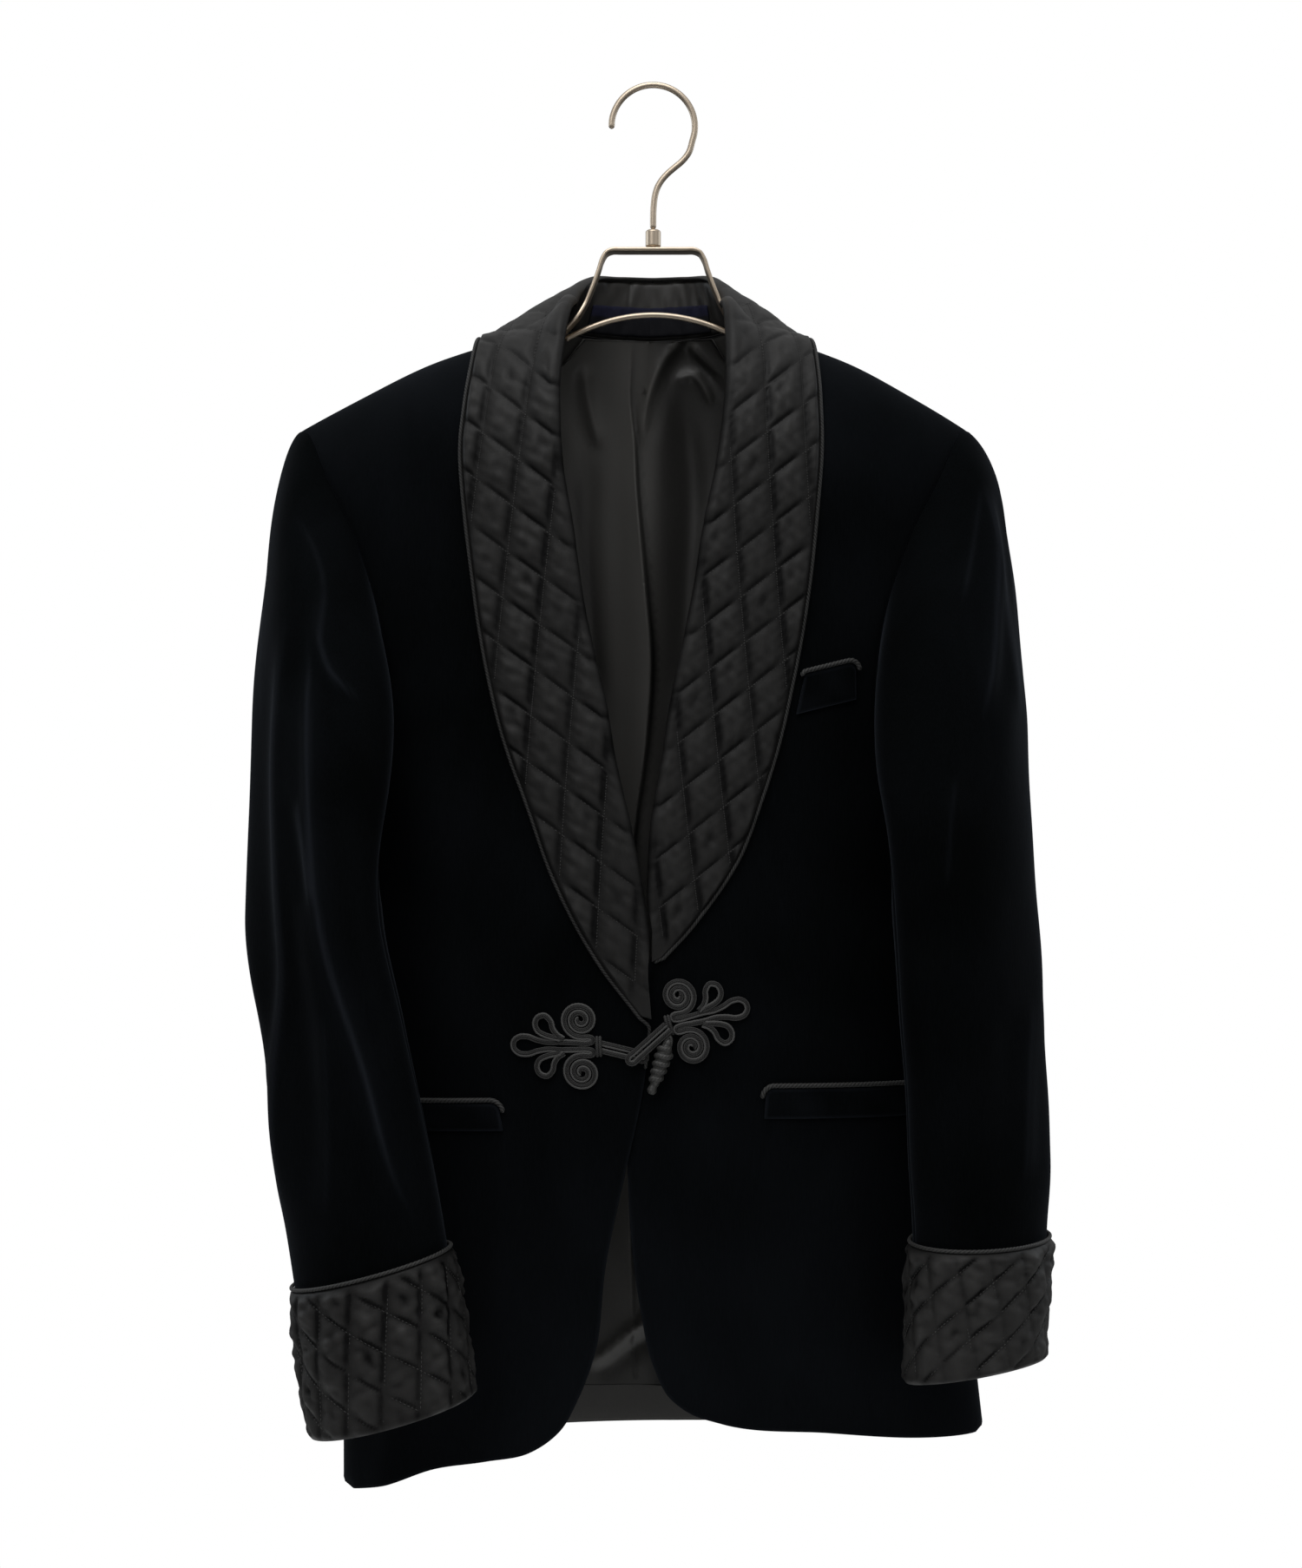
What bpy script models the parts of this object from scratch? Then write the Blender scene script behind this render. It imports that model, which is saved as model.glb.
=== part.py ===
"""Velvet smoking jacket on a metal hanger: flat patterns cut, thickened and laid on one hanging form.

Metres, +Z up, the front faces -Y. The origin is the inside of the hook's crown, where a rail carries it.
Left and right are the viewer's, seen from the front. Side is -1 for left and +1 for right.
"""

import bmesh
import bpy
import numpy as np
from mathutils import Matrix, geometry

# Cloth sizes
VELVET = 0.0020  # wall of the velvet panels
QUILT = 0.0026  # wall of the quilted satin between its raised diamonds
QUILT_RISE = 0.0014  # height of a diamond's middle
LINING = 0.0012
SEAM = 0.0003  # gap between sewn pieces
REST = 0.0007  # gap under a piece that lies on a panel
LAP = 0.0030  # the left front lies this far over the right one
CORD = 0.0016  # radius of the edge cord
ROLL = 0.0019  # inside radius of the rolled collar edge

# Quilting: a rhombus of 60 degrees
PITCH = 0.0290  # side of a diamond
COLLAR_GRAIN = np.radians((95.3, 37.0))  # the two line directions on the right collar
CUFF_GRAIN = np.radians((92.0, 32.0))

# The hanging form
CHEST_Z = -0.300  # above this height the form closes towards the shoulder seam
RISE = 0.160  # height coordinate from there to the seam
FORM_Y = -0.005
GIRTH = 0.300  # girth coordinate from the middle to the side seam
FRONT_POWER, BACK_POWER, TOP_POWER = 2.2, 2.6, 3.0
SKEW = 0.027  # the left side hangs a little nearer and wider

# height, half width, front depth, back depth
FORM = np.array([
    (-0.960, 0.2165, 0.073, 0.052),
    (-0.800, 0.2075, 0.078, 0.055),
    (-0.620, 0.1980, 0.082, 0.058),
    (-0.465, 0.1955, 0.082, 0.058),
    (-0.300, 0.2165, 0.077, 0.056),
    (-0.140, 0.2360, 0.072, 0.054),
])
# distance from the middle, height of the shoulder seam
SHOULDER = np.array([
    (0.000, -0.098), (0.030, -0.122), (0.062, -0.157), (0.100, -0.1715),
    (0.140, -0.1865), (0.180, -0.207), (0.222, -0.230), (0.245, -0.244),
])
# height, sideways swing of the whole jacket
SWING = np.array([
    (-0.960, 0.0165), (-0.620, -0.003), (-0.450, -0.009), (-0.230, -0.0065), (-0.120, 0.0),
])
SHOULDER_TIP, NECK_SIDE, UNDERARM_Z = 0.222, 0.062, -0.468
# armhole: distance from the middle, height (shoulder tip first, the underarm last)
ARMHOLE_FRONT = np.array([
    (0.222, -0.2303), (0.199, -0.267), (0.178, -0.310), (0.164, -0.354),
    (0.158, -0.400), (0.160, -0.432), (0.173, -0.457), (0.2009, -0.468),
])
ARMHOLE_BACK = np.array([
    (0.222, -0.2303), (0.207, -0.262), (0.191, -0.305), (0.180, -0.350),
    (0.176, -0.395), (0.179, -0.432), (0.187, -0.457), (0.2009, -0.468),
])
ARM_STEPS = 20  # points round a sleeve

# front edge and hem, from the break down and round to the side: distance from the middle, height
EDGE = {
    -1: np.array([
        (-0.0014, -0.612), (0.0035, -0.649), (0.0185, -0.709), (0.0345, -0.770), (0.0445, -0.826),
        (0.0570, -0.856), (0.0690, -0.876), (0.0900, -0.8915), (0.117, -0.898), (0.150, -0.905),
        (0.185, -0.920), (0.2085, -0.927),
    ]),
    1: np.array([
        (-0.0050, -0.590), (-0.0135, -0.627), (-0.0165, -0.680), (-0.0180, -0.737),
        (-0.0152, -0.793), (-0.0084, -0.835), (-0.0005, -0.8535), (0.0120, -0.864), (0.0320, -0.871),
        (0.1035, -0.879), (0.160, -0.886), (0.2085, -0.890),
    ]),
}
BACK_HEM_Z = -0.899

# collar stations from the break to the centre back: roll x, y, z and edge x, y, z, y 0 on the form,
# and how much narrower the left lapel is
COLLAR = np.array([
    (0.0045, 0, -0.589, 0.0110, 0, -0.586, 0.0000),
    (0.0065, 0, -0.560, 0.0330, 0, -0.562, 0.0030),
    (0.0080, 0, -0.525, 0.0610, 0, -0.520, 0.0085),
    (0.0115, 0, -0.488, 0.0780, 0, -0.476, 0.0095),
    (0.0185, 0, -0.449, 0.0900, 0, -0.439, 0.0085),
    (0.0245, 0, -0.412, 0.0985, 0, -0.405, 0.0085),
    (0.0325, 0, -0.376, 0.1060, 0, -0.368, 0.0090),
    (0.0395, 0, -0.340, 0.1115, 0, -0.330, 0.0090),
    (0.0455, 0, -0.300, 0.1150, 0, -0.290, 0.0070),
    (0.0525, 0, -0.262, 0.1170, 0, -0.252, 0.0050),
    (0.0565, 0, -0.225, 0.1155, 0, -0.222, 0.0045),
    (0.0570, 0, -0.190, 0.1125, 0, -0.196, 0.0035),
    (0.0515, -0.005, -0.141, 0.1060, -0.005, -0.1715, 0.0000),
    (0.0420, 0.026, -0.124, 0.0930, 0.036, -0.1740, 0.0000),
    (0.0240, 0.042, -0.121, 0.0540, 0.060, -0.1690, 0.0000),
    (0.0000, 0.046, -0.1215, 0.0000, 0.066, -0.1670, 0.0000),
])
ON_FORM = 11  # the last station that lies on the front
BREAK_DROP = 0.013  # the left lapel ends lower and the right one higher
TRIM = 0.0045  # the front is cut back this far inside the rolled edge
# neck seam at stations 11 to 15: x, y, z
NECK = np.array([
    (0.0615, -0.046, -0.192), (0.0620, -0.005, -0.1565), (0.0500, 0.0235, -0.160),
    (0.0270, 0.0355, -0.162), (0.0000, 0.0400, -0.163),
])

# sleeve rings: height, x, y, half length, half breadth, turn from fore-and-aft, tilt (degrees)
# the first ring only gives the second its slope
SLEEVE = {
    -1: np.array([
        (-0.480, 0.1940, -0.077, 0.068, 0.034, 22, 0),
        (-0.545, 0.2020, -0.085, 0.067, 0.035, 27, 0),
        (-0.612, 0.1950, -0.094, 0.062, 0.037, 34, 2),
        (-0.680, 0.1860, -0.104, 0.058, 0.040, 42, 8),
        (-0.745, 0.1780, -0.111, 0.053, 0.040, 52, 16),
        (-0.800, 0.1730, -0.115, 0.050, 0.040, 57, 18),
        (-0.862, 0.1670, -0.119, 0.050, 0.039, 60, 18),
    ]),
    1: np.array([
        (-0.480, 0.2110, -0.075, 0.073, 0.040, 28, 0),
        (-0.545, 0.2105, -0.080, 0.071, 0.040, 31, 0),
        (-0.612, 0.2105, -0.082, 0.066, 0.039, 33, 0),
        (-0.680, 0.2110, -0.085, 0.062, 0.039, 35, 0),
        (-0.745, 0.2090, -0.089, 0.055, 0.039, 37, 0),
        (-0.800, 0.2030, -0.093, 0.050, 0.037, 38, 0),
        (-0.862, 0.1970, -0.097, 0.050, 0.037, 40, 0),
    ]),
}
CUFF_TOP = {-1: -0.766, 1: -0.752}
CUFF_HIGH = 0.089
CUFF_LIFT = {-1: 0.0, 1: 0.016}  # the lower edge of the cuff rises this far on its outer side
CUFF_OFF = 0.0023  # gap between sleeve and cuff
# how a sleeve leaves the armhole: place round from the shoulder tip, direction x, y, z, share of the handle
LEAVE = {
    -1: np.array([
        (0.00, 0.66, 0.00, -0.75, 0.10), (0.13, 0.44, -0.50, -0.74, 0.20), (0.30, -0.30, -0.72, -0.62, 0.42),
        (0.50, 0.74, -0.06, -0.67, 0.36), (0.75, 0.42, 0.34, -0.84, 0.28), (1.00, 0.66, 0.00, -0.75, 0.10),
    ]),
    1: np.array([
        (0.00, 0.78, 0.00, -0.63, 0.17), (0.13, 0.54, -0.50, -0.68, 0.22), (0.30, -0.20, -0.74, -0.64, 0.40),
        (0.50, 0.74, -0.06, -0.67, 0.36), (0.75, 0.72, 0.32, -0.62, 0.34), (1.00, 0.78, 0.00, -0.63, 0.17),
    ]),
}
# folds of the sleeves: place round (0 to 1), height, reach round, reach in height, depth, lean
FOLDS = {
    -1: [(0.93, -0.50, 0.045, 0.20, 0.0040, -0.05), (0.17, -0.52, 0.050, 0.16, 0.0045, 0.45),
         (0.06, -0.66, 0.050, 0.14, -0.0035, 0.30)],
    1: [(0.07, -0.36, 0.050, 0.10, 0.0040, 0.20), (0.20, -0.55, 0.060, 0.15, -0.0030, 0.15),
        (0.92, -0.66, 0.050, 0.12, 0.0030, 0.0)],
}

# welt pockets: side, near and far end (distance from the middle), height at both, depth of the welt,
# shift of the near end's foot, rounding of the near corner
POCKETS = {
    "pocket_breast": (1, 0.1088, 0.1430, -0.3940, -0.3855, 0.0240, -0.0060, 0.0008),
    "pocket_hip_right": (1, 0.0740, 0.1750, -0.6575, -0.6590, 0.0190, -0.0015, 0.0060),
    "pocket_hip_left": (-1, 0.0945, 0.1700, -0.6670, -0.6700, 0.0175, -0.0015, 0.0060),
}
POCKET_ROUND = 0.006

# frogs: side, tie bar x and z, turn of the knot, turn and length of the loop, lift of the loop
FROGS = {
    "left": (-1, -0.0312, -0.6296, 0.0, -14.0, 0.0300, 0.0),
    "right": (1, 0.0130, -0.6165, 13.0, 221.0, 0.0345, 0.0030),
}
BRAID_WIDE, BRAID_HIGH = 0.0038, 0.0022
COIL, COIL_EYE, COIL_AT = 0.0110, 0.0026, (0.0112, 0.0176)
# petals of a knot: centre along and across, half length, half breadth, first and last angle
PETALS = ((0.0325, 0.0125, 0.0056, 0.0064, 216, -28), (0.0470, 0.0, 0.0076, 0.0056, 128, -128),
          (0.0325, -0.0125, 0.0056, 0.0064, 28, -216))
TOGGLE = np.array([(0.0, 0.0010), (0.002, 0.0032), (0.005, 0.0036), (0.0065, 0.0050), (0.010, 0.0058),
                   (0.017, 0.0062), (0.024, 0.0058), (0.030, 0.0047), (0.0335, 0.0034), (0.036, 0.0036),
                   (0.0385, 0.0024), (0.039, 0.0008)])  # distance along, radius
TOGGLE_TOP, TOGGLE_END = (0.0128, -0.6265), (0.0010, -0.6630)

# hanger
WIRE, HOOK_R = 0.0019, 0.0278
STRAP_WIDE, STRAP_THICK = 0.0150, 0.0030
BAR_R = 0.0019
FERRULE_R, FERRULE_TOP, FERRULE_LOW = 0.0051, -0.0945, -0.1065
# one leg of the bracket: distance from the middle, height
LEG = ((0.0000, -0.1085), (0.0270, -0.1085), (0.0312, -0.1110), (0.0335, -0.1185), (0.0395, -0.1380),
       (0.0455, -0.1500), (0.0530, -0.1615), (0.0640, -0.1700))
ARM_DROP, ARM_END = 0.0105, 0.185
BAR_TOP, BAR_SAG, BAR_HALF = -0.1515, 0.0160, 0.0508  # height in the middle, drop at 58 mm out, half length

# plain colours of the parts
VELVET_TONE = (0.010, 0.010, 0.018)
SATIN = (0.030, 0.029, 0.031)
CORD_TONE = (0.040, 0.039, 0.041)
NAVY = (0.010, 0.013, 0.040)
NICKEL = (0.62, 0.57, 0.50)


def smooth(knots, rows, at):
    """Cubic through a table's rows, keyed by its first column's values."""
    knots, rows, at = np.asarray(knots, float), np.asarray(rows, float), np.asarray(at, float)
    slope = np.gradient(rows, knots, axis=0)
    at = np.clip(at, knots[0], knots[-1])
    k = np.clip(np.searchsorted(knots, at, side="right") - 1, 0, len(knots) - 2)
    step = knots[k + 1] - knots[k]
    t = (at - knots[k]) / step
    if rows.ndim > 1:
        t, step = t[..., None], step[..., None]
    return ((1 + 2 * t) * (1 - t) ** 2 * rows[k] + t * (1 - t) ** 2 * step * slope[k]
            + t * t * (3 - 2 * t) * rows[k + 1] + t * t * (t - 1) * step * slope[k + 1])


def ease(low, high, at):
    """0 below low, 1 above high, and smooth between."""
    t = np.clip((at - low) / (high - low), 0, 1)
    return t * t * (3 - 2 * t)


def unit(v):
    return v / np.linalg.norm(v, axis=-1, keepdims=True)


def spaced(points, count):
    """Points evenly spaced along the smooth line through a table's rows."""
    points = np.asarray(points, float)
    key = np.r_[0, np.cumsum(np.linalg.norm(np.diff(points, axis=0), axis=1))]
    fine = smooth(key, points, np.linspace(0, key[-1], 400))
    run = np.r_[0, np.cumsum(np.linalg.norm(np.diff(fine, axis=0), axis=1))]
    even = np.linspace(0, run[-1], count)
    return np.stack([np.interp(even, run, fine[:, c]) for c in range(points.shape[1])], axis=1)


def shoulder_z(x):
    return smooth(SHOULDER[:, 0], SHOULDER[:, 1], np.abs(x))


def hang(p):
    """Moves points of the straight garment to where they hang."""
    p = np.array(p, float)
    x = p[..., 0] * (1 - SKEW * np.tanh(p[..., 0] / 0.05))
    p[..., 0] = x + smooth(SWING[:, 0], SWING[:, 1], p[..., 2])
    return p


def form(g, h, face):
    """The form at girth g and height h: face -1 is the front, +1 the back."""
    g, h = np.asarray(g, float), np.asarray(h, float)
    wide, front, back = np.moveaxis(smooth(FORM[:, 0], FORM[:, 1:], h), -1, 0)
    s = np.sin(np.clip(g / GIRTH, -1, 1) * np.pi / 2)
    t = np.sin(np.clip((h - CHEST_Z) / RISE, 0, 1) * np.pi / 2)
    x = wide * s
    z = np.where(h > CHEST_Z, CHEST_Z + (shoulder_z(x) - CHEST_Z) * t, h)
    power, depth = (FRONT_POWER, front) if face < 0 else (BACK_POWER, back)
    y = FORM_Y + face * depth * np.sqrt(np.maximum(1 - np.abs(s) ** power, 0) * (1 - t ** TOP_POWER))
    return np.stack([x, y, z], axis=-1)


def coordinates(x, z):
    """Girth and height of the point of the form at x and z."""
    x, z = np.asarray(x, float), np.asarray(z, float)
    t = np.clip((z - CHEST_Z) / (shoulder_z(x) - CHEST_Z), 0, 1)
    h = np.where(z > CHEST_Z, CHEST_Z + RISE * np.arcsin(t) * 2 / np.pi, z)
    wide = smooth(FORM[:, 0], FORM[:, 1], h)
    return np.arcsin(np.clip(x / wide, -1, 1)) * 2 / np.pi * GIRTH, h


def form_normal(g, h, face):
    d = 2e-4
    across = form(g + d, h, face) - form(g - d, h, face)
    up = form(g, h + d, face) - form(g, h - d, face)
    return unit(np.cross(across, up)) * -face


def lap(x, side):
    """How far the left front is lifted to lie over the right one."""
    return LAP * (1 - ease(0.03, 0.09, -np.asarray(x))) if side < 0 else np.zeros_like(np.asarray(x, float))


def on_front(side):
    """Placement on one front: girth from the middle outwards, height, lift off the cloth."""
    def place(g, h, lift=0.0):
        g = np.asarray(g, float) * side
        p = form(g, h, -1)
        lifted = lap(p[..., 0], side) + lift
        return hang(p + form_normal(g, h, -1) * np.asarray(lifted)[..., None])
    return place


def on_back(g, h, lift=0.0):
    lift = np.broadcast_to(np.asarray(lift, float), np.shape(g))
    return hang(form(g, h, 1) + form_normal(g, h, 1) * lift[..., None])


def finish(name, points, faces, colour, rough=0.8, metal=0.0):
    """One closed body from points and faces, with its own material."""
    mesh = bpy.data.meshes.new(name)
    body = bmesh.new()
    verts = [body.verts.new(p) for p in points]
    for face in faces:
        body.faces.new([verts[i] for i in face])
    bmesh.ops.recalc_face_normals(body, faces=body.faces)
    body.to_mesh(mesh)
    body.free()
    material = bpy.data.materials.new(name)
    material.use_nodes = True
    shader = material.node_tree.nodes["Principled BSDF"]
    shader.inputs["Base Color"].default_value = (*colour, 1)
    shader.inputs["Roughness"].default_value = rough
    shader.inputs["Metallic"].default_value = metal
    mesh.materials.append(material)
    obj = bpy.data.objects.new(name, mesh)
    PARTS.objects.link(obj)
    return obj


def cut(outline, fill):
    """Triangles of a flat piece from its outline and the points inside it."""
    points = [tuple(p) for p in np.concatenate([outline, fill])]
    count = len(outline)
    edges = [(i, (i + 1) % count) for i in range(count)]
    made = geometry.delaunay_2d_cdt(points, edges, [], 1, 1e-7)
    origin = [ids[0] for ids in made[3]]
    return [[origin[i] for i in face] for face in made[2]]


def inside(outline, points, margin):
    """The points that lie in the outline and not within the margin of it."""
    a, b = outline, np.roll(outline, -1, axis=0)
    p = points[:, None, :]
    crosses = (a[:, 1] > p[..., 1]) != (b[:, 1] > p[..., 1])
    slope = np.where(b[:, 1] == a[:, 1], 1e-12, b[:, 1] - a[:, 1])
    edge_x = (b[:, 0] - a[:, 0]) * (p[..., 1] - a[:, 1]) / slope + a[:, 0]
    within = (crosses & (p[..., 0] < edge_x)).sum(1) % 2
    edge = b - a
    t = np.clip(((p - a) * edge).sum(-1) / np.maximum((edge * edge).sum(-1), 1e-18), 0, 1)
    gap = np.linalg.norm(p - a - t[..., None] * edge, axis=-1).min(1)
    return points[(within == 1) & (gap > margin)]


def lattice(outline, directions, steps):
    """Points of a slanted grid over an outline, with their whole-number places in it."""
    basis = np.stack([np.array([np.cos(d), np.sin(d)]) * s for d, s in zip(directions, steps)])
    low, high = outline.min(0), outline.max(0)
    reach = int(np.linalg.norm(high - low) / min(steps)) + 2
    places = np.stack(np.meshgrid(*[np.arange(-reach, reach + 1)] * 2), -1).reshape(-1, 2)
    return places @ basis + (low + high) / 2, places


def grid_in(outline, step, margin=0.45):
    points, _ = lattice(outline, (0, np.pi / 2), (step, step))
    return inside(outline, points, step * margin)


def sheet(name, outline, place, low, high, colour, step, fine=None, relief=None, plain=None, rough=0.85):
    """A cloth piece: its outline filled, laid out at two lifts and closed round the rim."""
    outer_fill = grid_in(outline, fine or step) if relief is None else relief[0]
    inner_fill = grid_in(outline, step) if plain is None else plain
    rise = np.zeros(len(outer_fill)) if relief is None else relief[1]
    count = len(outline)
    outer = np.concatenate([outline, outer_fill])
    inner = np.concatenate([outline, inner_fill])
    lift = np.r_[np.full(count, high), high + rise]
    points = np.concatenate([place(outer[:, 0], outer[:, 1], lift),
                             place(inner[:, 0], inner[:, 1], np.full(len(inner), low))])
    base = len(outer)
    faces = cut(outline, outer_fill) + [[i + base for i in f[::-1]] for f in cut(outline, inner_fill)]
    faces += [[i, (i + 1) % count, base + (i + 1) % count, base + i] for i in range(count)]
    return finish(name, points, faces, colour, rough)


def wall(name, outer, inner, colour):
    """A cloth wall between two grids of points, closed round its edges."""
    rows, columns = outer.shape[:2]
    at = np.arange(rows * columns).reshape(rows, columns)
    quads = [[at[i, j], at[i, j + 1], at[i + 1, j + 1], at[i + 1, j]]
             for i in range(rows - 1) for j in range(columns - 1)]
    rim = np.concatenate([at[0, :-1], at[:-1, -1], at[-1, :0:-1], at[:0:-1, 0]])
    base = rows * columns
    faces = quads + [[i + base for i in q[::-1]] for q in quads]
    faces += [[rim[i], rim[(i + 1) % len(rim)], base + rim[(i + 1) % len(rim)], base + rim[i]]
              for i in range(len(rim))]
    return finish(name, np.concatenate([outer.reshape(-1, 3), inner.reshape(-1, 3)]), faces, colour)


def sweep(name, centres, ups, profile, colour, closed=False, rough=0.7, metal=0.0):
    """A profile (across, up) carried along a line of points."""
    along = np.roll(centres, -1, 0) - np.roll(centres, 1, 0) if closed else np.gradient(centres, axis=0)
    along = unit(along)
    across = unit(np.cross(along, ups))
    ups = np.cross(across, along)
    profile = np.asarray(profile, float)
    rings = (centres[:, None] + across[:, None] * profile[None, :, :1] + ups[:, None] * profile[None, :, 1:])
    count, sides = rings.shape[:2]
    at = np.arange(count * sides).reshape(count, sides)
    last = count if closed else count - 1
    faces = [[at[i, j], at[i, (j + 1) % sides], at[(i + 1) % count, (j + 1) % sides], at[(i + 1) % count, j]]
             for i in range(last) for j in range(sides)]
    if not closed:
        faces += [list(at[0])[::-1], list(at[-1])]
    return finish(name, rings.reshape(-1, 3), faces, colour, rough, metal)


def round_profile(radius, sides=6):
    angle = np.arange(sides) * 2 * np.pi / sides
    return np.stack([np.cos(angle), np.sin(angle)], 1) * radius


def armhole(table, count):
    """Girth and height along one half of the armhole, evenly spaced on the form."""
    g, h = coordinates(table[:, 0], table[:, 1])
    g[-1] = GIRTH
    h[0] = CHEST_Z + RISE
    return spaced(np.stack([g, h], 1), count)


def front_edge(side, count=30):
    return spaced(EDGE[side], count)


def rails(side, k):
    """The collar's rolled line and outer edge at stations k."""
    table = COLLAR[:, :6].copy()
    table[:, 3] -= COLLAR[:, 6] * (side < 0)
    drop = side * BREAK_DROP
    for c in (0, 3):
        table[:, c + 2] += drop * ease(0.44, 0.59, -table[:, c + 2])
        g, h = coordinates(table[:ON_FORM + 1, c], table[:ON_FORM + 1, c + 2])
        table[:ON_FORM + 1, c + 1] = form(g, h, -1)[:, 1]
    rows = smooth(np.arange(len(table)), table, k)
    return rows[..., :3], rows[..., 3:]


def clear(p, gap):
    """Moves points that would sink into the form out to its surface and a gap beyond."""
    p = np.array(p, float)
    wide, front, back = np.moveaxis(smooth(FORM[:, 0], FORM[:, 1:], p[..., 2]), -1, 0)
    s = np.clip(np.abs(p[..., 0]) / wide, 0, 0.98)
    depth = np.where(p[..., 1] < FORM_Y, front * np.sqrt(1 - s ** FRONT_POWER),
                     back * np.sqrt(1 - s ** BACK_POWER))
    top = shoulder_z(p[..., 0]) - CHEST_Z
    y, z = p[..., 1] - FORM_Y, np.maximum(p[..., 2] - CHEST_Z, 0)
    for _ in range(12):
        level = (y / (depth + gap)) ** 2 + (z / (top + gap)) ** TOP_POWER
        grow = np.where(level < 1, np.maximum(level, 0.05) ** -0.45, 1.0)
        y, z = y * grow, z * grow
    p[..., 1] = FORM_Y + y
    p[..., 2] = np.where(p[..., 2] > CHEST_Z, CHEST_Z + z, p[..., 2])
    return p


def collar_skin(side, k, w):
    """The underside of the collar at station k and share w of the way out, unhung, in right-hand form."""
    roll, edge = rails(side, k)
    p = roll + (edge - roll) * w[..., None]
    over = ease(ON_FORM - 1.6, ON_FORM + 0.8, k)
    p[..., 2] += 0.0035 * over * np.sin(np.pi * np.clip(w, 0, 1))
    return clear(p, REST + 0.0004 + 0.0022 * over)


def on_collar(side):
    """Placement on the collar: station, distance from the rolled line (metres), lift."""
    def place(k, d, lift=0.0):
        k, d = np.asarray(k, float), np.asarray(d, float)
        lift = np.broadcast_to(np.asarray(lift, float), k.shape)
        roll, edge = rails(side, k)
        span = np.linalg.norm(edge - roll, axis=-1)
        w, e = np.maximum(d, 0) / span, 4e-3
        p = collar_skin(side, k, w)
        out = unit(collar_skin(side, k, w + e) - collar_skin(side, k, np.maximum(w - e, 0)))
        run = collar_skin(side, np.minimum(k + 0.02, 15), w) - collar_skin(side, np.maximum(k - 0.02, 0), w)
        normal = unit(np.cross(out, run))
        turn = np.clip(-d, 0, None) / ROLL
        bent = normal * np.cos(turn)[..., None] - out * np.sin(turn)[..., None]
        p = p - out * (ROLL * np.sin(turn))[..., None] - normal * (ROLL * (1 - np.cos(turn)))[..., None]
        p = p + bent * lift[..., None]
        p[..., 0] *= side
        p = p + normal * np.array([side, 1, 1]) * lap(p[..., 0], side)[..., None]
        return hang(p)
    return place


def collar_pattern(side, count=600):
    """Flat rolled line and edge of the collar, unrolled past the shoulder."""
    k = np.linspace(0, 15, count)
    roll, edge = rails(side, k)
    flat = []
    for line in (roll, edge):
        run = np.r_[0, np.cumsum(np.linalg.norm(np.diff(line, axis=0), axis=1))]
        turn = np.searchsorted(k, ON_FORM)
        rest = np.maximum(run - run[turn], 0)
        low = np.minimum(np.arange(count), turn)
        flat.append(np.stack([line[low, 0], line[low, 2] + rest], 1))
    return k, flat[0], flat[1]


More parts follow.
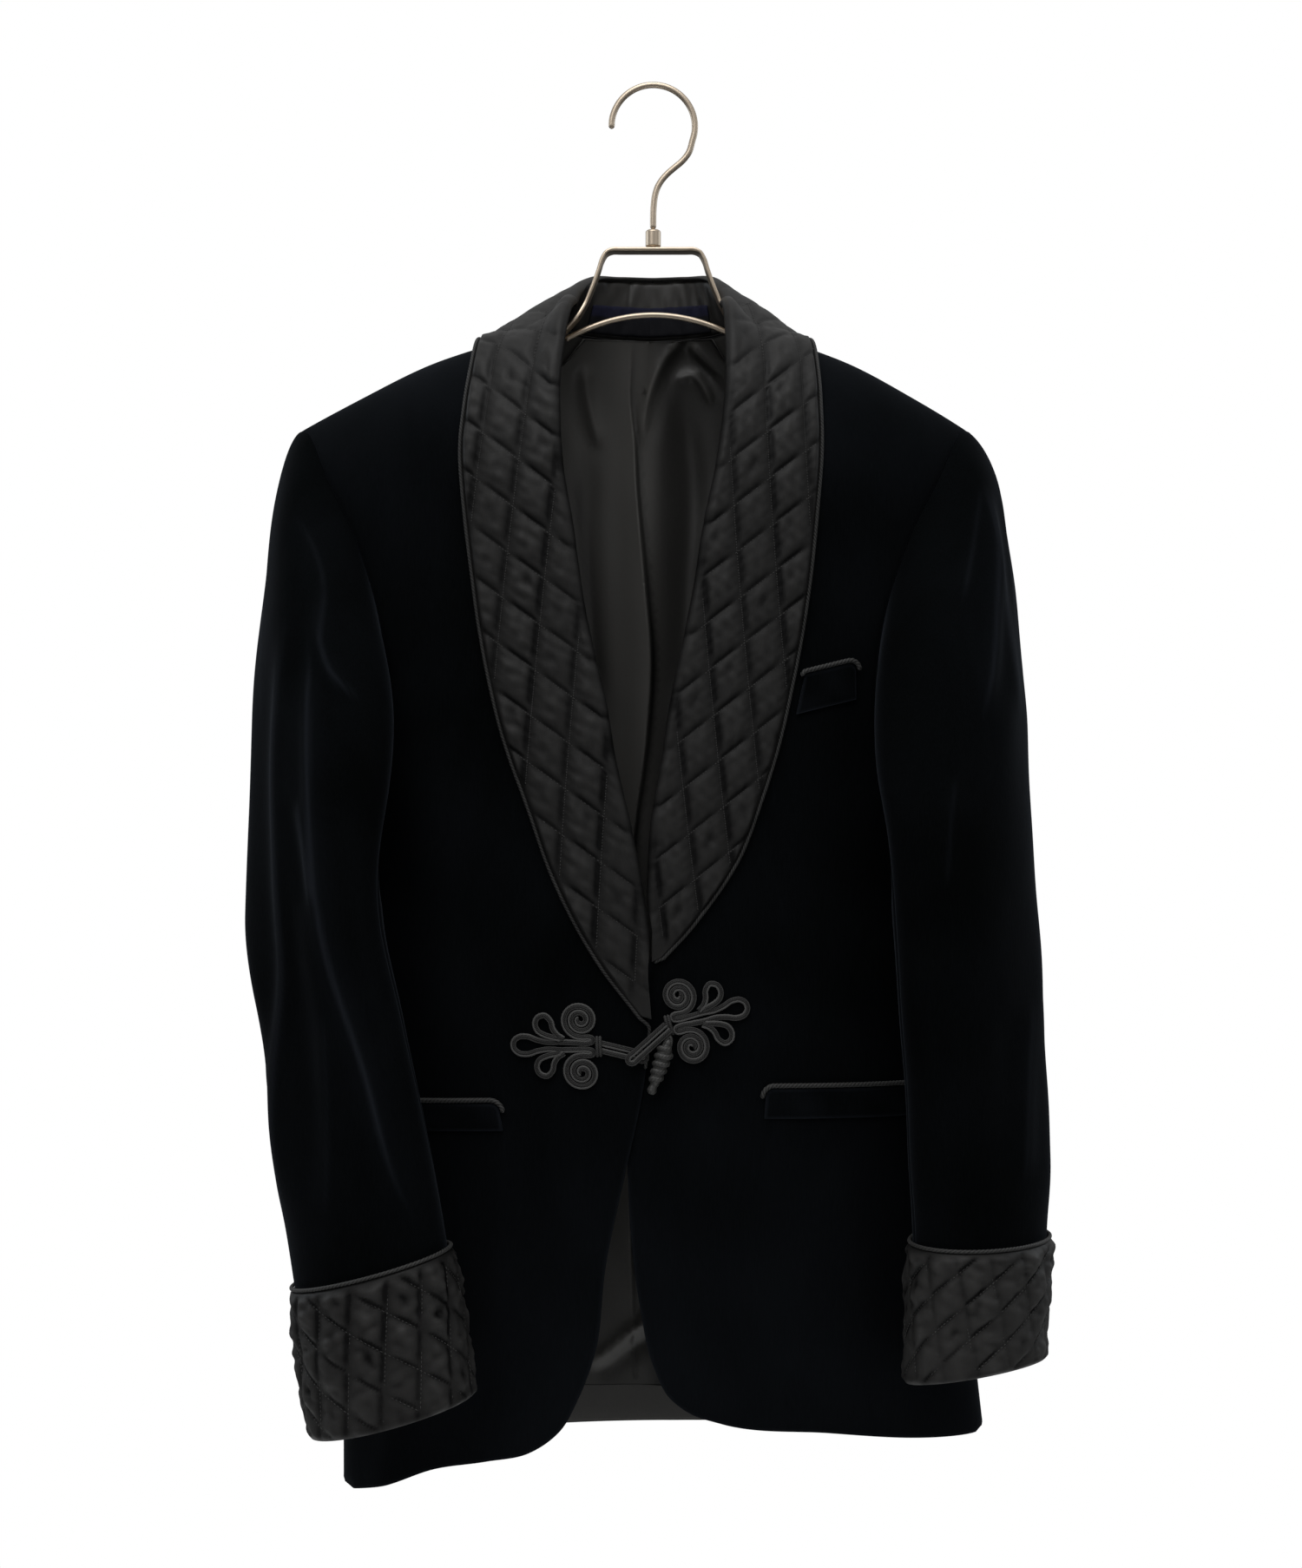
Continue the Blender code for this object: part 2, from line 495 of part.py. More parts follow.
def collar(side, name):
    """One half of the quilted shawl collar, with its rolled edge, and the cord along it."""
    keys, flat_roll, flat_edge = collar_pattern(side)
    place = on_collar(side)
    roll_k = np.r_[0.0, np.linspace(0.45, 15, 36)]
    edge_k = np.r_[0.0, np.linspace(0.45, 15, 40)]
    ends = 15 - 0.012
    roll_k[-1] = edge_k[-1] = ends

    def flat(line, k):
        return np.stack([np.interp(k, keys, line[:, 0]), np.interp(k, keys, line[:, 1])], 1)

    seam_w = np.linspace(0, 1, 5)[1:-1]
    seam_low, seam_high = flat(flat_roll, np.full(3, ends)), flat(flat_edge, np.full(3, ends))
    seam = seam_low + (seam_high - seam_low) * seam_w[:, None]
    outline = np.concatenate([flat(flat_roll, roll_k), seam, flat(flat_edge, edge_k)[::-1]])

    def station(points):
        """Station and distance out of points of the flat pattern."""
        line = flat_edge - flat_roll
        side_of = (line[None, :, 0] * (points[:, None, 1] - flat_roll[None, :, 1])
                   - line[None, :, 1] * (points[:, None, 0] - flat_roll[None, :, 0]))
        change = np.abs(np.diff(np.sign(side_of), axis=1)) > 0
        i = change.argmax(1)
        j = np.arange(len(points))
        t = side_of[j, i] / (side_of[j, i] - side_of[j, i + 1] + 1e-15)
        k = keys[i] + t * (keys[1] - keys[0])
        root = flat(flat_roll, k)
        span = flat(flat_edge, k) - root
        w = ((points - root) * span).sum(1) / (span * span).sum(1)
        roll, edge = rails(side, k)
        return k, w * np.linalg.norm(edge - roll, axis=1)

    def laid(p, q, lift):
        points = np.stack([p, q], 1)
        k, d = station(points)
        count = len(outline)
        known = np.r_[roll_k, np.full(3, ends), edge_k[::-1]]
        roll, edge = rails(side, known)
        width = np.linalg.norm(edge - roll, axis=1)
        share = np.r_[np.zeros(len(roll_k)), seam_w, np.ones(len(edge_k))]
        k[:count], d[:count] = known, width * share
        return place(k, d, lift)

    points, places = lattice(outline, COLLAR_GRAIN, (PITCH / 2, PITCH / 2))
    raised = dict(zip(map(tuple, np.round(points, 9)), (places % 2 == 1).all(1)))
    fill = inside(outline, points, 0.0048)
    rise = np.array([QUILT_RISE if raised[tuple(np.round(p, 9))] else 0.0 for p in fill])

    coarse = inside(outline, lattice(outline, (0, np.pi / 2), (0.026, 0.026))[0], 0.009)
    count, base = len(outline), len(outline) + len(fill)
    outer = laid(*np.concatenate([outline, fill]).T, np.r_[np.full(count, QUILT), QUILT + rise])
    inner = laid(*np.concatenate([outline, coarse]).T, 0.0)
    top, under = cut(outline, fill), cut(outline, coarse)
    turns = -ROLL * np.pi * np.array([0.34, 0.67, 1.0])
    taper = 0.05 + 0.95 * ease(0.6, 2.4, roll_k)
    lips = [np.concatenate([place(roll_k, taper * d, lift) for d in turns]) for lift in (QUILT, 0.0)]
    points = np.concatenate([outer, inner, *lips])
    faces = top + [[i + base for i in f[::-1]] for f in under]
    rows, start = len(roll_k), len(outer) + len(inner)
    grids = []
    for first, shift in ((0, start), (base, start + len(lips[0]))):
        grids.append(np.concatenate([np.arange(rows)[None] + first,
                                     np.arange(3 * rows).reshape(3, rows) + shift]))
    for grid in grids:
        faces += [[grid[i, j], grid[i, j + 1], grid[i + 1, j + 1], grid[i + 1, j]]
                  for i in range(3) for j in range(rows - 1)]
    up, down = grids
    loop_up, loop_down = [
        np.concatenate([np.arange(rows - 1, count) + first, [first], g[1:, 0], g[3, 1:], g[2:0:-1, -1]])
        for first, g in ((0, up), (base, down))]
    faces += [[loop_up[i], loop_up[(i + 1) % len(loop_up)], loop_down[(i + 1) % len(loop_up)], loop_down[i]]
              for i in range(len(loop_up))]
    finish(f"collar_{name}", points, faces, SATIN, 0.5)

    k = edge_k
    roll, edge = rails(side, k)
    rung = edge - roll
    square = np.linalg.norm(np.cross(unit(rung), unit(np.gradient(edge, axis=0))), axis=1)
    out = np.linalg.norm(rung, axis=1) + (2 * SEAM + CORD) / square
    line = place(k, out, CORD + 0.0002)
    sweep(f"collar_cord_{name}", line, unit(place(k, out, 0.004) - line), round_profile(CORD, 5), CORD_TONE)


def front(side, name):
    """One velvet front, cut round the neck, shoulder, armhole, side, hem, front edge and rolled line."""
    top = CHEST_Z + RISE - 0.0002
    ridge_x = np.linspace(NECK_SIDE + 0.001, SHOULDER_TIP, 8)[:-1]
    ridge_g = coordinates(ridge_x, shoulder_z(ridge_x))[0]
    ridge = np.stack([ridge_g, np.full(7, top)], 1)
    arm = armhole(ARMHOLE_FRONT, ARM_STEPS // 2 + 1)
    arm[0, 1] = top
    arm[-1, 0] -= 0.0004
    corner = EDGE[side][-1]
    hem = front_edge(side)[::-1]
    hem = np.stack(coordinates(hem[:, 0], hem[:, 1]), 1)
    seam_h = np.linspace(UNDERARM_Z, corner[1], 16)[1:]
    seam = np.stack([np.full(15, GIRTH - 0.0004), seam_h], 1)
    k = np.linspace(0.5, 11.2, 26)
    roll, edge = rails(side, k)
    line = roll + unit(edge - roll) * TRIM
    inner = np.stack(coordinates(line[:, 0], line[:, 2]), 1)
    neck = np.stack(coordinates([0.0610, 0.0618], [-0.180, -0.166]), 1)
    outline = np.concatenate([ridge, arm, seam, hem[1:], inner, neck])
    sheet(f"front_{name}", outline, on_front(side), -VELVET, 0.0, VELVET_TONE, 0.036, 0.027)


def back():
    """The velvet back in one piece and the satin lining seen inside it."""
    top = CHEST_Z + RISE - 0.0002
    ridge_x = np.linspace(NECK_SIDE + 0.001, SHOULDER_TIP, 8)[:-1]
    ridge = np.stack([coordinates(ridge_x, shoulder_z(ridge_x))[0], np.full(7, top)], 1)
    arm = armhole(ARMHOLE_BACK, ARM_STEPS // 2 + 1)
    arm[0, 1] = top
    arm[-1, 0] -= 0.0004
    neck_x = np.linspace(-0.056, 0.056, 11)
    neck = np.stack(coordinates(neck_x, -0.163 + 0.0035 * (neck_x / 0.056) ** 2), 1)
    hem_g = np.linspace(1, -1, 25) * (GIRTH - 0.0004)
    hem_z = {side: EDGE[side][-1][1] for side in EDGE}
    hem_h = BACK_HEM_Z + (np.where(hem_g > 0, hem_z[1], hem_z[-1]) - BACK_HEM_Z) * (hem_g / GIRTH) ** 2
    right = np.concatenate([ridge, arm, np.stack([np.full(14, GIRTH - 0.0004),
                                                  np.linspace(UNDERARM_Z, hem_z[1], 16)[1:-1]], 1)])
    left = np.concatenate([ridge, arm, np.stack([np.full(14, GIRTH - 0.0004),
                                                 np.linspace(UNDERARM_Z, hem_z[-1], 16)[1:-1]], 1)])
    left[:, 0] *= -1
    outline = np.concatenate([neck, right, np.stack([hem_g, hem_h], 1), left[::-1]])
    sheet("back", outline, on_back, -VELVET, 0.0, VELVET_TONE, 0.042, 0.032)

    def lining(g, h, lift):
        pleat = 0.0050 * np.exp(-((g - 0.004) / 0.012) ** 2) * ease(0.15, 0.22, -h)
        fade = ease(0.17, 0.40, -h) * (1 - ease(0.16, 0.21, np.abs(g)))
        waves = 0.0028 * np.sin(g * 75 + 9 * h) ** 2 * fade
        return on_back(g, h, lift - VELVET - 0.0026 - pleat - waves)

    wide, low = 0.215, -0.874
    neck_x = np.linspace(-0.046, 0.046, 9)
    neck = np.stack(coordinates(neck_x, -0.1705 + 0.0035 * (neck_x / 0.056) ** 2), 1)
    down = np.linspace(-0.30, low, 18)[:-1]
    shoulder = np.stack(coordinates(np.array([0.066, 0.085, 0.105]), np.array([-0.186, -0.205, -0.235])), 1)
    right = np.concatenate([shoulder, np.stack([np.full(17, wide), down], 1)])
    left = right * np.array([-1, 1])
    hem = np.stack([np.linspace(wide, -wide, 18), np.full(18, low)], 1)
    outline = np.concatenate([neck, right, hem, left[::-1]])
    sheet("lining_back", outline, lining, -LINING, 0.0, SATIN, 0.036)


def stand():
    """The satin collar stand round the back neck, and the plain band inside it."""
    def placed(k, w):
        """k runs from -4 to 4 through the centre back, w from the neck seam to the roll."""
        station = 15 - np.abs(k)
        low = smooth(np.arange(11, 16), NECK, station)
        roll, _ = rails(1, station)
        p = low + (roll - low) * w[..., None]
        p[..., 0] *= np.where(k < 0, -1, 1)
        return p

    def place(k, w, lift):
        d = 1e-3
        p = placed(k, w)
        run = placed(k + d, w) - placed(k - d, w)
        up = placed(k, w + d) - placed(k, w - d)
        normal = unit(np.cross(up, run))
        inwards = np.array([0.0, -0.030, -0.150]) - p
        normal *= np.sign((normal * inwards).sum(-1))[..., None]
        return hang(p + normal * np.asarray(lift)[..., None])

    def strip(label, k, w, low, thick, colour):
        wall(label, place(k, w, np.full(k.shape, low)), place(k, w, np.full(k.shape, low + thick)), colour)

    k, w = np.meshgrid(np.linspace(-3.45, 3.45, 25), np.linspace(0.03, 0.82, 4), indexing="ij")
    w[:, 0] = 0.05 + 0.05 * ease(2.6, 3.4, np.abs(k[:, 0]))
    strip("collar_stand", k, w, 0.0004, VELVET, SATIN)
    k, w = np.meshgrid(np.linspace(-1.72, 1.72, 13), np.linspace(0.06, 0.55, 3), indexing="ij")
    strip("neck_band", k, w, 0.0004 + VELVET + 0.0008, 0.001, NAVY)


def sleeve_ring(side, z, u):
    """A sleeve's section at height z: point and outward normal at place u round it, right-hand form."""
    rows = smooth(-SLEEVE[side][:, 0], SLEEVE[side], -z)
    angle = (0.5 - u) * 2 * np.pi
    long, broad = rows[..., 3], rows[..., 4]
    turn, tilt = np.radians(rows[..., 5]), np.radians(rows[..., 6])
    fore = np.stack([-np.sin(turn), -np.cos(turn)], -1)
    out = np.stack([np.cos(turn), -np.sin(turn)], -1)
    c, s = -np.cos(angle), np.sin(angle)
    flat = fore * (long * s)[..., None] + out * (broad * c)[..., None]
    norm = unit(fore * (broad * s)[..., None] + out * (long * c)[..., None])
    drop = np.tan(tilt) * flat[..., 0]
    p = np.stack([rows[..., 1] + flat[..., 0], rows[..., 2] + flat[..., 1], z - drop], -1)
    return p, np.stack([norm[..., 0], norm[..., 1], np.zeros_like(z)], -1)


def sleeve(side, name):
    """A two-piece sleeve from the armhole to inside the cuff, the cuff and its cord."""
    half = ARM_STEPS // 2
    fore, aft = armhole(ARMHOLE_FRONT, half + 1), armhole(ARMHOLE_BACK, half + 1)
    start = np.concatenate([form(fore[:, 0], fore[:, 1], -1), form(aft[:, 0], aft[:, 1], 1)[-2:0:-1]])
    normal = np.concatenate([form_normal(fore[:, 0], fore[:, 1] - 3e-4, -1),
                             form_normal(aft[:, 0], aft[:, 1] - 3e-4, 1)[-2:0:-1]])
    normal[half] = (1, 0, 0)
    run = unit(np.roll(start, -1, 0) - np.roll(start, 1, 0))
    out = unit(np.cross(normal, run))
    u = np.arange(ARM_STEPS) / ARM_STEPS
    way = smooth(LEAVE[side][:, 0], LEAVE[side][:, 1:], u)
    leave = unit(way[:, :3])
    first = start + unit(leave + out) * 0.0007
    z_top, z_end = SLEEVE[side][1, 0], CUFF_TOP[side] - CUFF_HIGH + 0.022
    ring, _ = sleeve_ring(side, np.full(ARM_STEPS, z_top), u)
    next_ring, _ = sleeve_ring(side, np.full(ARM_STEPS, z_top - 0.004), u)
    length = np.linalg.norm(ring - first, axis=1)[:, None]
    one = first + leave * length * way[:, 3:]
    two = ring - unit(next_ring - ring) * length * 0.36
    rows = []
    for t in np.linspace(0, 1, 9)[:-1]:
        s = 1 - t
        rows.append(s ** 3 * first + 3 * t * s ** 2 * one + 3 * t * t * s * two + t ** 3 * ring)
    for z in np.linspace(z_top, z_end, 10):
        rows.append(sleeve_ring(side, np.full(ARM_STEPS, z), u)[0])
    grid = np.array(rows)
    wrap = np.concatenate([grid[:, -1:], grid, grid[:, :1]], 1)
    n = unit(np.cross(np.gradient(wrap, axis=0), np.gradient(wrap, axis=1)))[:, 1:-1]
    n *= np.sign((n[-1] * (grid[-1] - grid[-1].mean(0))).sum())
    folded = (leave * normal).sum(1, keepdims=True) < 0
    n[0] = np.where(folded, normal, unit(np.cross(run, leave)))
    puff = np.zeros(grid.shape[:2])
    for place, z, reach, tall, depth, slant in FOLDS[side]:
        off = (u[None] - place - slant * (grid[..., 2] - z) + 0.5) % 1 - 0.5
        puff += depth * np.exp(-(off / reach) ** 2 - ((grid[..., 2] - z) / tall) ** 4)
    above = grid[..., 2] - CUFF_TOP[side]
    puff *= ease(0, 4, np.arange(len(grid)))[:, None] * ease(0.005, 0.05, above)
    outer = grid + n * puff[..., None]
    inner = outer - n * VELVET
    flip = np.array([side, 1, 1])
    seams = (int(ARM_STEPS * 0.36), int(ARM_STEPS * 0.76))

    def piece(columns, label):
        pair = []
        for points in (outer, inner):
            block = points[:, columns % ARM_STEPS].copy()
            gap = 0.5 * SEAM
            block[:, 0] += unit(block[:, 1] - block[:, 0]) * gap
            block[:, -1] += unit(block[:, -2] - block[:, -1]) * gap
            pair.append(hang(block * flip))
        wall(f"sleeve_{label}_{name}", *pair, VELVET_TONE)

    piece(np.arange(seams[1], seams[0] + ARM_STEPS + 1), "top")
    piece(np.arange(seams[0], seams[1] + 1), "under")

    top = CUFF_TOP[side]
    round_u = np.linspace(0, 1, 201)
    loop = sleeve_ring(side, np.full(201, top - CUFF_HIGH / 2), round_u)[0]
    girth = np.linalg.norm(np.diff(loop, axis=0), axis=1).sum()

    def laid(p, q, lift):
        around = (0.60 + p / girth) % 1.0
        lift_z = CUFF_LIFT[side] * (0.5 + 0.5 * np.cos(2 * np.pi * around)) * (1 - q / CUFF_HIGH)
        point, out_n = sleeve_ring(side, top - CUFF_HIGH + q + lift_z, around)
        return hang((point + out_n * (CUFF_OFF + np.asarray(lift))[..., None]) * flip)

    long = np.linspace(SEAM / 2, girth - SEAM / 2, 25)
    tall = np.linspace(0, CUFF_HIGH, 6)[1:-1]
    outline = np.concatenate([
        np.stack([long, np.zeros(25)], 1), np.stack([np.full(4, long[-1]), tall], 1),
        np.stack([long[::-1], np.full(25, CUFF_HIGH)], 1), np.stack([np.full(4, long[0]), tall[::-1]], 1)])
    grain = CUFF_GRAIN if side < 0 else np.pi - CUFF_GRAIN
    points, places = lattice(outline, grain, (PITCH / 2, PITCH / 2))
    keep = inside(outline, points, 0.0048)
    raised = dict(zip(map(tuple, np.round(points, 9)), (places % 2 == 1).all(1)))
    rise = np.array([QUILT_RISE if raised[tuple(np.round(p, 9))] else 0.0 for p in keep])
    plain = np.stack(np.meshgrid(long[1:-1], tall[1::2]), -1).reshape(-1, 2)
    sheet(f"cuff_{name}", outline, laid, 0.0, QUILT, SATIN, 0.026,
          relief=(keep, rise), plain=plain, rough=0.5)
    ring_p = np.linspace(0, girth, 29)[:-1]
    line = laid(ring_p, np.full(28, CUFF_HIGH + SEAM + CORD), np.full(28, QUILT / 2))
    far = laid(ring_p, np.full(28, CUFF_HIGH + SEAM + CORD), np.full(28, QUILT / 2 + 0.003))
    sweep(f"cuff_cord_{name}", line, unit(far - line), round_profile(CORD, 5), CORD_TONE, closed=True)


def pocket(name, side, near, far, near_z, far_z, deep, foot, near_round):
    """A welt with rounded upper corners lying on a front, and the cord along its top."""
    angles = np.linspace(np.pi / 2, 0, 4)
    corner = np.stack([np.cos(angles), np.sin(angles)], 1) - 1
    slope = (far_z - near_z) / (far - near)

    def line(grow):
        """The upper edge of the welt, moved out by grow."""
        ends = [corner[::-1] * (-1, 1) * near_round + (near, 0), corner * POCKET_ROUND + (far, 0)]
        ends = [e + np.stack([s * np.cos(a), np.sin(a)], 1) * grow
                for e, s, a in zip(ends, (-1, 1), (angles[::-1], angles))]
        top = np.stack([np.linspace(near + near_round, far - POCKET_ROUND, 8)[1:-1], np.full(6, grow)], 1)
        return np.concatenate([ends[0], top, ends[1]])

    def flat(points):
        return np.stack(coordinates(points[:, 0], points[:, 1] + near_z + slope * (points[:, 0] - near)), 1)

    lower = np.stack([np.linspace(far, near + foot, 8), np.full(8, -deep)], 1)
    place = on_front(side)
    sheet(name, flat(np.concatenate([line(0.0), lower])), place, REST, REST + 0.0018, VELVET_TONE, 0.02)
    g, h = flat(line(2 * SEAM + CORD)).T
    centre = place(g, h, np.full(len(g), CORD + REST))
    ups = unit(place(g, h, np.full(len(g), 0.006)) - centre)
    sweep(f"{name}_cord", centre, ups, round_profile(CORD, 5), CORD_TONE)


def arc(cx, cy, rx, ry, first, last, count):
    angle = np.radians(np.linspace(first, last, count))
    return np.stack([cx + rx * np.cos(angle), cy + ry * np.sin(angle)], 1)


def knot_line():
    """The one braid of a knot, from coil to petals to coil: along from the tie bar, across."""
    turns = (COIL - COIL_EYE) / (BRAID_WIDE + 0.0008)
    angle = np.linspace(-90 + 360 * turns, -90, int(15 * turns))
    radius = np.linspace(COIL_EYE, COIL, len(angle))
    coil = np.stack([COIL_AT[0] + radius * np.cos(np.radians(angle)),
                     COIL_AT[1] + radius * np.sin(np.radians(angle))], 1)
    low = COIL_AT[1] - COIL
    turn = arc(0.0068, (low + 0.0024) / 2, (low - 0.0024) / 2, (low - 0.0024) / 2, 90, 270, 6)
    upper = np.concatenate([coil, turn, [(0.0150, 0.0024), (0.0240, 0.0030)], arc(*PETALS[0], 9)])
    tip = arc(*PETALS[1], 9)
    return np.concatenate([upper, tip, upper[::-1] * (1, -1)])


def loop_line(length):
    gap = (BRAID_WIDE + 0.0008) / 2
    return np.concatenate([[(0.0050, gap), (0.0120, gap), (length - 0.006, gap)],
                           arc(length - gap, 0, gap, gap, 80, -80, 5),
                           [(length - 0.006, -gap), (0.0120, -gap), (0.0050, -gap)]])


def frog(name, side, bar_x, bar_z, turn, loop_turn, loop_long, loop_lift):
    """A knot of flat braid on one front, its tie bar, and its loop across the opening."""
    place = on_front(side)
    braid = np.array([(-0.5, 0.0), (-0.30, 1.0), (0.30, 1.0), (0.5, 0.0)]) * (BRAID_WIDE, BRAID_HIGH)

    def turned(points, degrees, sign):
        c, s = np.cos(np.radians(degrees)), np.sin(np.radians(degrees))
        x, y = points[:, 0] * c - points[:, 1] * s, points[:, 0] * s + points[:, 1] * c
        return np.stack([bar_x + x * sign, bar_z + y], 1)

    def laid(points, lift, on, on_side):
        g, h = coordinates(points[:, 0] * on_side, points[:, 1])
        return on(g, h, np.full(len(g), lift))

    knot = turned(knot_line(), turn, side)
    line = laid(knot, REST, place, side)
    sweep(f"frog_knot_{name}", line, unit(laid(knot, 0.004, place, side) - line), braid, CORD_TONE)
    upper = on_front(-1)
    loop = turned(loop_line(loop_long), loop_turn, 1)
    lift = REST + loop_lift
    line = laid(loop, lift, upper, -1)
    sweep(f"frog_loop_{name}", line, unit(laid(loop, lift + 0.004, upper, -1) - line), braid, CORD_TONE)
    bar = turned(np.stack([np.zeros(5), np.linspace(-0.0065, 0.0065, 5)], 1), turn, side)
    line = laid(bar, REST / 2, place, side)
    block = np.array([(-0.0021, 0), (-0.0021, 0.0024), (-0.0010, 0.0036),
                      (0.0010, 0.0036), (0.0021, 0.0024), (0.0021, 0)])
    sweep(f"frog_bar_{name}", line, unit(laid(bar, 0.004, place, side) - line), block, CORD_TONE)


def toggle():
    """The wound spindle of the closure, turned by a Screw modifier and laid on the right front."""
    place = on_front(1)
    ends = np.array([TOGGLE_TOP, TOGGLE_END])
    g, h = coordinates(ends[:, 0], ends[:, 1])
    top, end = place(g, h, np.full(2, TOGGLE[:, 1].max() + REST / 2))
    mesh = bpy.data.meshes.new("toggle")
    points = [(0, 0, 0)] + [(r, 0, -z) for z, r in TOGGLE] + [(0, 0, -TOGGLE[-1, 0] - 0.0004)]
    mesh.from_pydata(points, [(i, i + 1) for i in range(len(points) - 1)], [])
    obj = bpy.data.objects.new("toggle", mesh)
    material = bpy.data.materials.new("toggle")
    material.use_nodes = True
    material.node_tree.nodes["Principled BSDF"].inputs["Base Color"].default_value = (*CORD_TONE, 1)
    mesh.materials.append(material)
    screw = obj.modifiers.new("turn", "SCREW")
    screw.axis, screw.steps, screw.render_steps = "Z", 12, 12
    screw.use_merge_vertices, screw.merge_threshold = True, 1e-5
    screw.use_normal_calculate = True
    down = unit(end - top)
    across = unit(np.cross(down, np.array([0.0, 1.0, 0.0])))
    frame = np.eye(4)
    frame[:3, 0], frame[:3, 1], frame[:3, 2], frame[:3, 3] = across, np.cross(-down, across), -down, top
    obj.matrix_world = Matrix(frame.tolist())
    PARTS.objects.link(obj)


def hanger():
    """Hook, ferrule, flat bracket with its arms under the shoulders, and the lower bar."""
    a = np.radians(np.linspace(188, -38, 17))
    crown = np.stack([HOOK_R * np.cos(a), np.zeros(17), HOOK_R * np.sin(a) - HOOK_R + WIRE], 1)
    tail = np.array([(0.0160, 0, -0.0535), (0.0085, 0, -0.0600), (0.0032, 0, -0.0665), (0.0004, 0, -0.0755),
                     (0.0, 0, -0.0850), (0.0, 0, FERRULE_TOP + SEAM)])
    line = np.concatenate([[(-HOOK_R * 0.955, 0, -0.0335)], crown, tail])

    def metal(label, points, profile):
        ups = np.tile([0.0, 1.0, 0.0], (len(points), 1))
        sweep(label, points, ups, profile, NICKEL, rough=0.35, metal=1)

    metal("hanger_hook", line, round_profile(WIRE, 8))
    post = np.array([(0, 0, FERRULE_TOP), (0, 0, FERRULE_LOW)])
    metal("hanger_ferrule", post, round_profile(FERRULE_R, 16))

    leg = np.array(LEG)
    reach = np.linspace(0.080, ARM_END, 6)

    def half(side):
        out = hang(np.stack([reach * side, np.full(6, FORM_Y), shoulder_z(reach) - ARM_DROP], 1))
        near = np.stack([leg[1:, 0] * side, np.full(len(leg) - 1, 0.0), leg[1:, 1]], 1)
        near[-3:, 1] = FORM_Y
        return np.concatenate([near, out])

    line = np.concatenate([half(-1)[::-1], half(1)])
    strap = np.array([(-0.5, -0.5), (-0.5, 0.5), (0.5, 0.5), (0.5, -0.5)]) * (STRAP_THICK, STRAP_WIDE)
    metal("hanger_bracket", line, strap)

    x = np.linspace(-BAR_HALF, BAR_HALF, 17)
    bar = np.stack([x, np.full(17, -0.001), BAR_TOP - BAR_SAG * (x / 0.058) ** 2], 1)
    metal("hanger_bar", bar, round_profile(BAR_R, 8))


for old in list(bpy.data.objects):
    bpy.data.objects.remove(old, do_unlink=True)
PARTS = bpy.data.collections.new("velvet_smoking_jacket_on_hanger")
bpy.context.scene.collection.children.link(PARTS)

back()
stand()
for SIDE, NAME in ((-1, "left"), (1, "right")):
    front(SIDE, NAME)
    sleeve(SIDE, NAME)
    collar(SIDE, NAME)
    frog(NAME, *FROGS[NAME])
for NAME, sizes in POCKETS.items():
    pocket(NAME, *sizes)
toggle()
hanger()
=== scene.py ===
"""Velvet smoking jacket on a metal hanger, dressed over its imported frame.

Metres, +Z up, the front faces -Y. The origin lies inside the hook's crown, where a rail carries it.
Left and right are the viewer's, seen from the front. Every cloth is a thin closed shell on the same
hanging form as the solids, with its creases, seams and quilting in the mesh.
"""

import logging
from dataclasses import dataclass
from enum import Enum
from functools import reduce
from typing import Any, Callable

import bpy
import numpy as np
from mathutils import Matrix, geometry

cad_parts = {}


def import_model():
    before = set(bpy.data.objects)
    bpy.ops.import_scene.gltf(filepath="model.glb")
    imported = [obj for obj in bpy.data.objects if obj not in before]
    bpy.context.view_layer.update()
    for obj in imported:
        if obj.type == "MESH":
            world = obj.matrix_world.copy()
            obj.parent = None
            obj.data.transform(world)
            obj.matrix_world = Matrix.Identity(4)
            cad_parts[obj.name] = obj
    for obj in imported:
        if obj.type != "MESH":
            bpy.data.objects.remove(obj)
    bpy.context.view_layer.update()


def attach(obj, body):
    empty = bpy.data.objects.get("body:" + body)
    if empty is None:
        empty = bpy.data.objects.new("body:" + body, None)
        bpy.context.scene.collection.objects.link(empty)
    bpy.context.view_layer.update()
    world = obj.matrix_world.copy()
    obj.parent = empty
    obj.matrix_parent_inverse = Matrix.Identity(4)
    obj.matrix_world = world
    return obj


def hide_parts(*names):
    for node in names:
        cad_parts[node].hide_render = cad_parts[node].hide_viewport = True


LOG = logging.getLogger("jacket")
Array = np.ndarray
Pair = tuple[Array, Array]
Piece = bpy.types.Object
Table = tuple[tuple[float, ...], ...]
Colour = tuple[float, float, float]
Lift = np.ndarray | float
Place = Callable[[Array, Array, Lift], Array]
Relief = Callable[[Array], Pair]  # height and tone at hung points, the tone holding painted light and shade


class Side(Enum):
    """The viewer's side of the jacket, with the sign of its x."""

    LEFT = -1
    RIGHT = 1

    @property
    def word(self) -> str:
        """The side as piece names spell it."""
        return self.name.lower()


class Slot(Enum):
    """The record's material slots."""

    VELVET = "velvet"
    QUILT = "quilted_satin"
    SATIN = "satin"
    LINING = "lining"
    BAND = "navy_band"
    CORD = "cord"
    NICKEL = "satin_nickel"


# Sizes that several pieces share
VELVET, QUILT, LINING = 0.002, 0.0026, 0.0012  # cloth walls
SEAM, REST = 0.0003, 0.0007  # gap at a seam, and under what lies on a panel
CORD = 0.0016  # radius of the edge cords
SHOULDER_TIP, NECK_SIDE, UNDERARM_Z = 0.222, 0.062, -0.468
BACK_HEM_Z = -0.899
AFT = np.array([0.0, 1.0, 0.0])  # away from the viewer

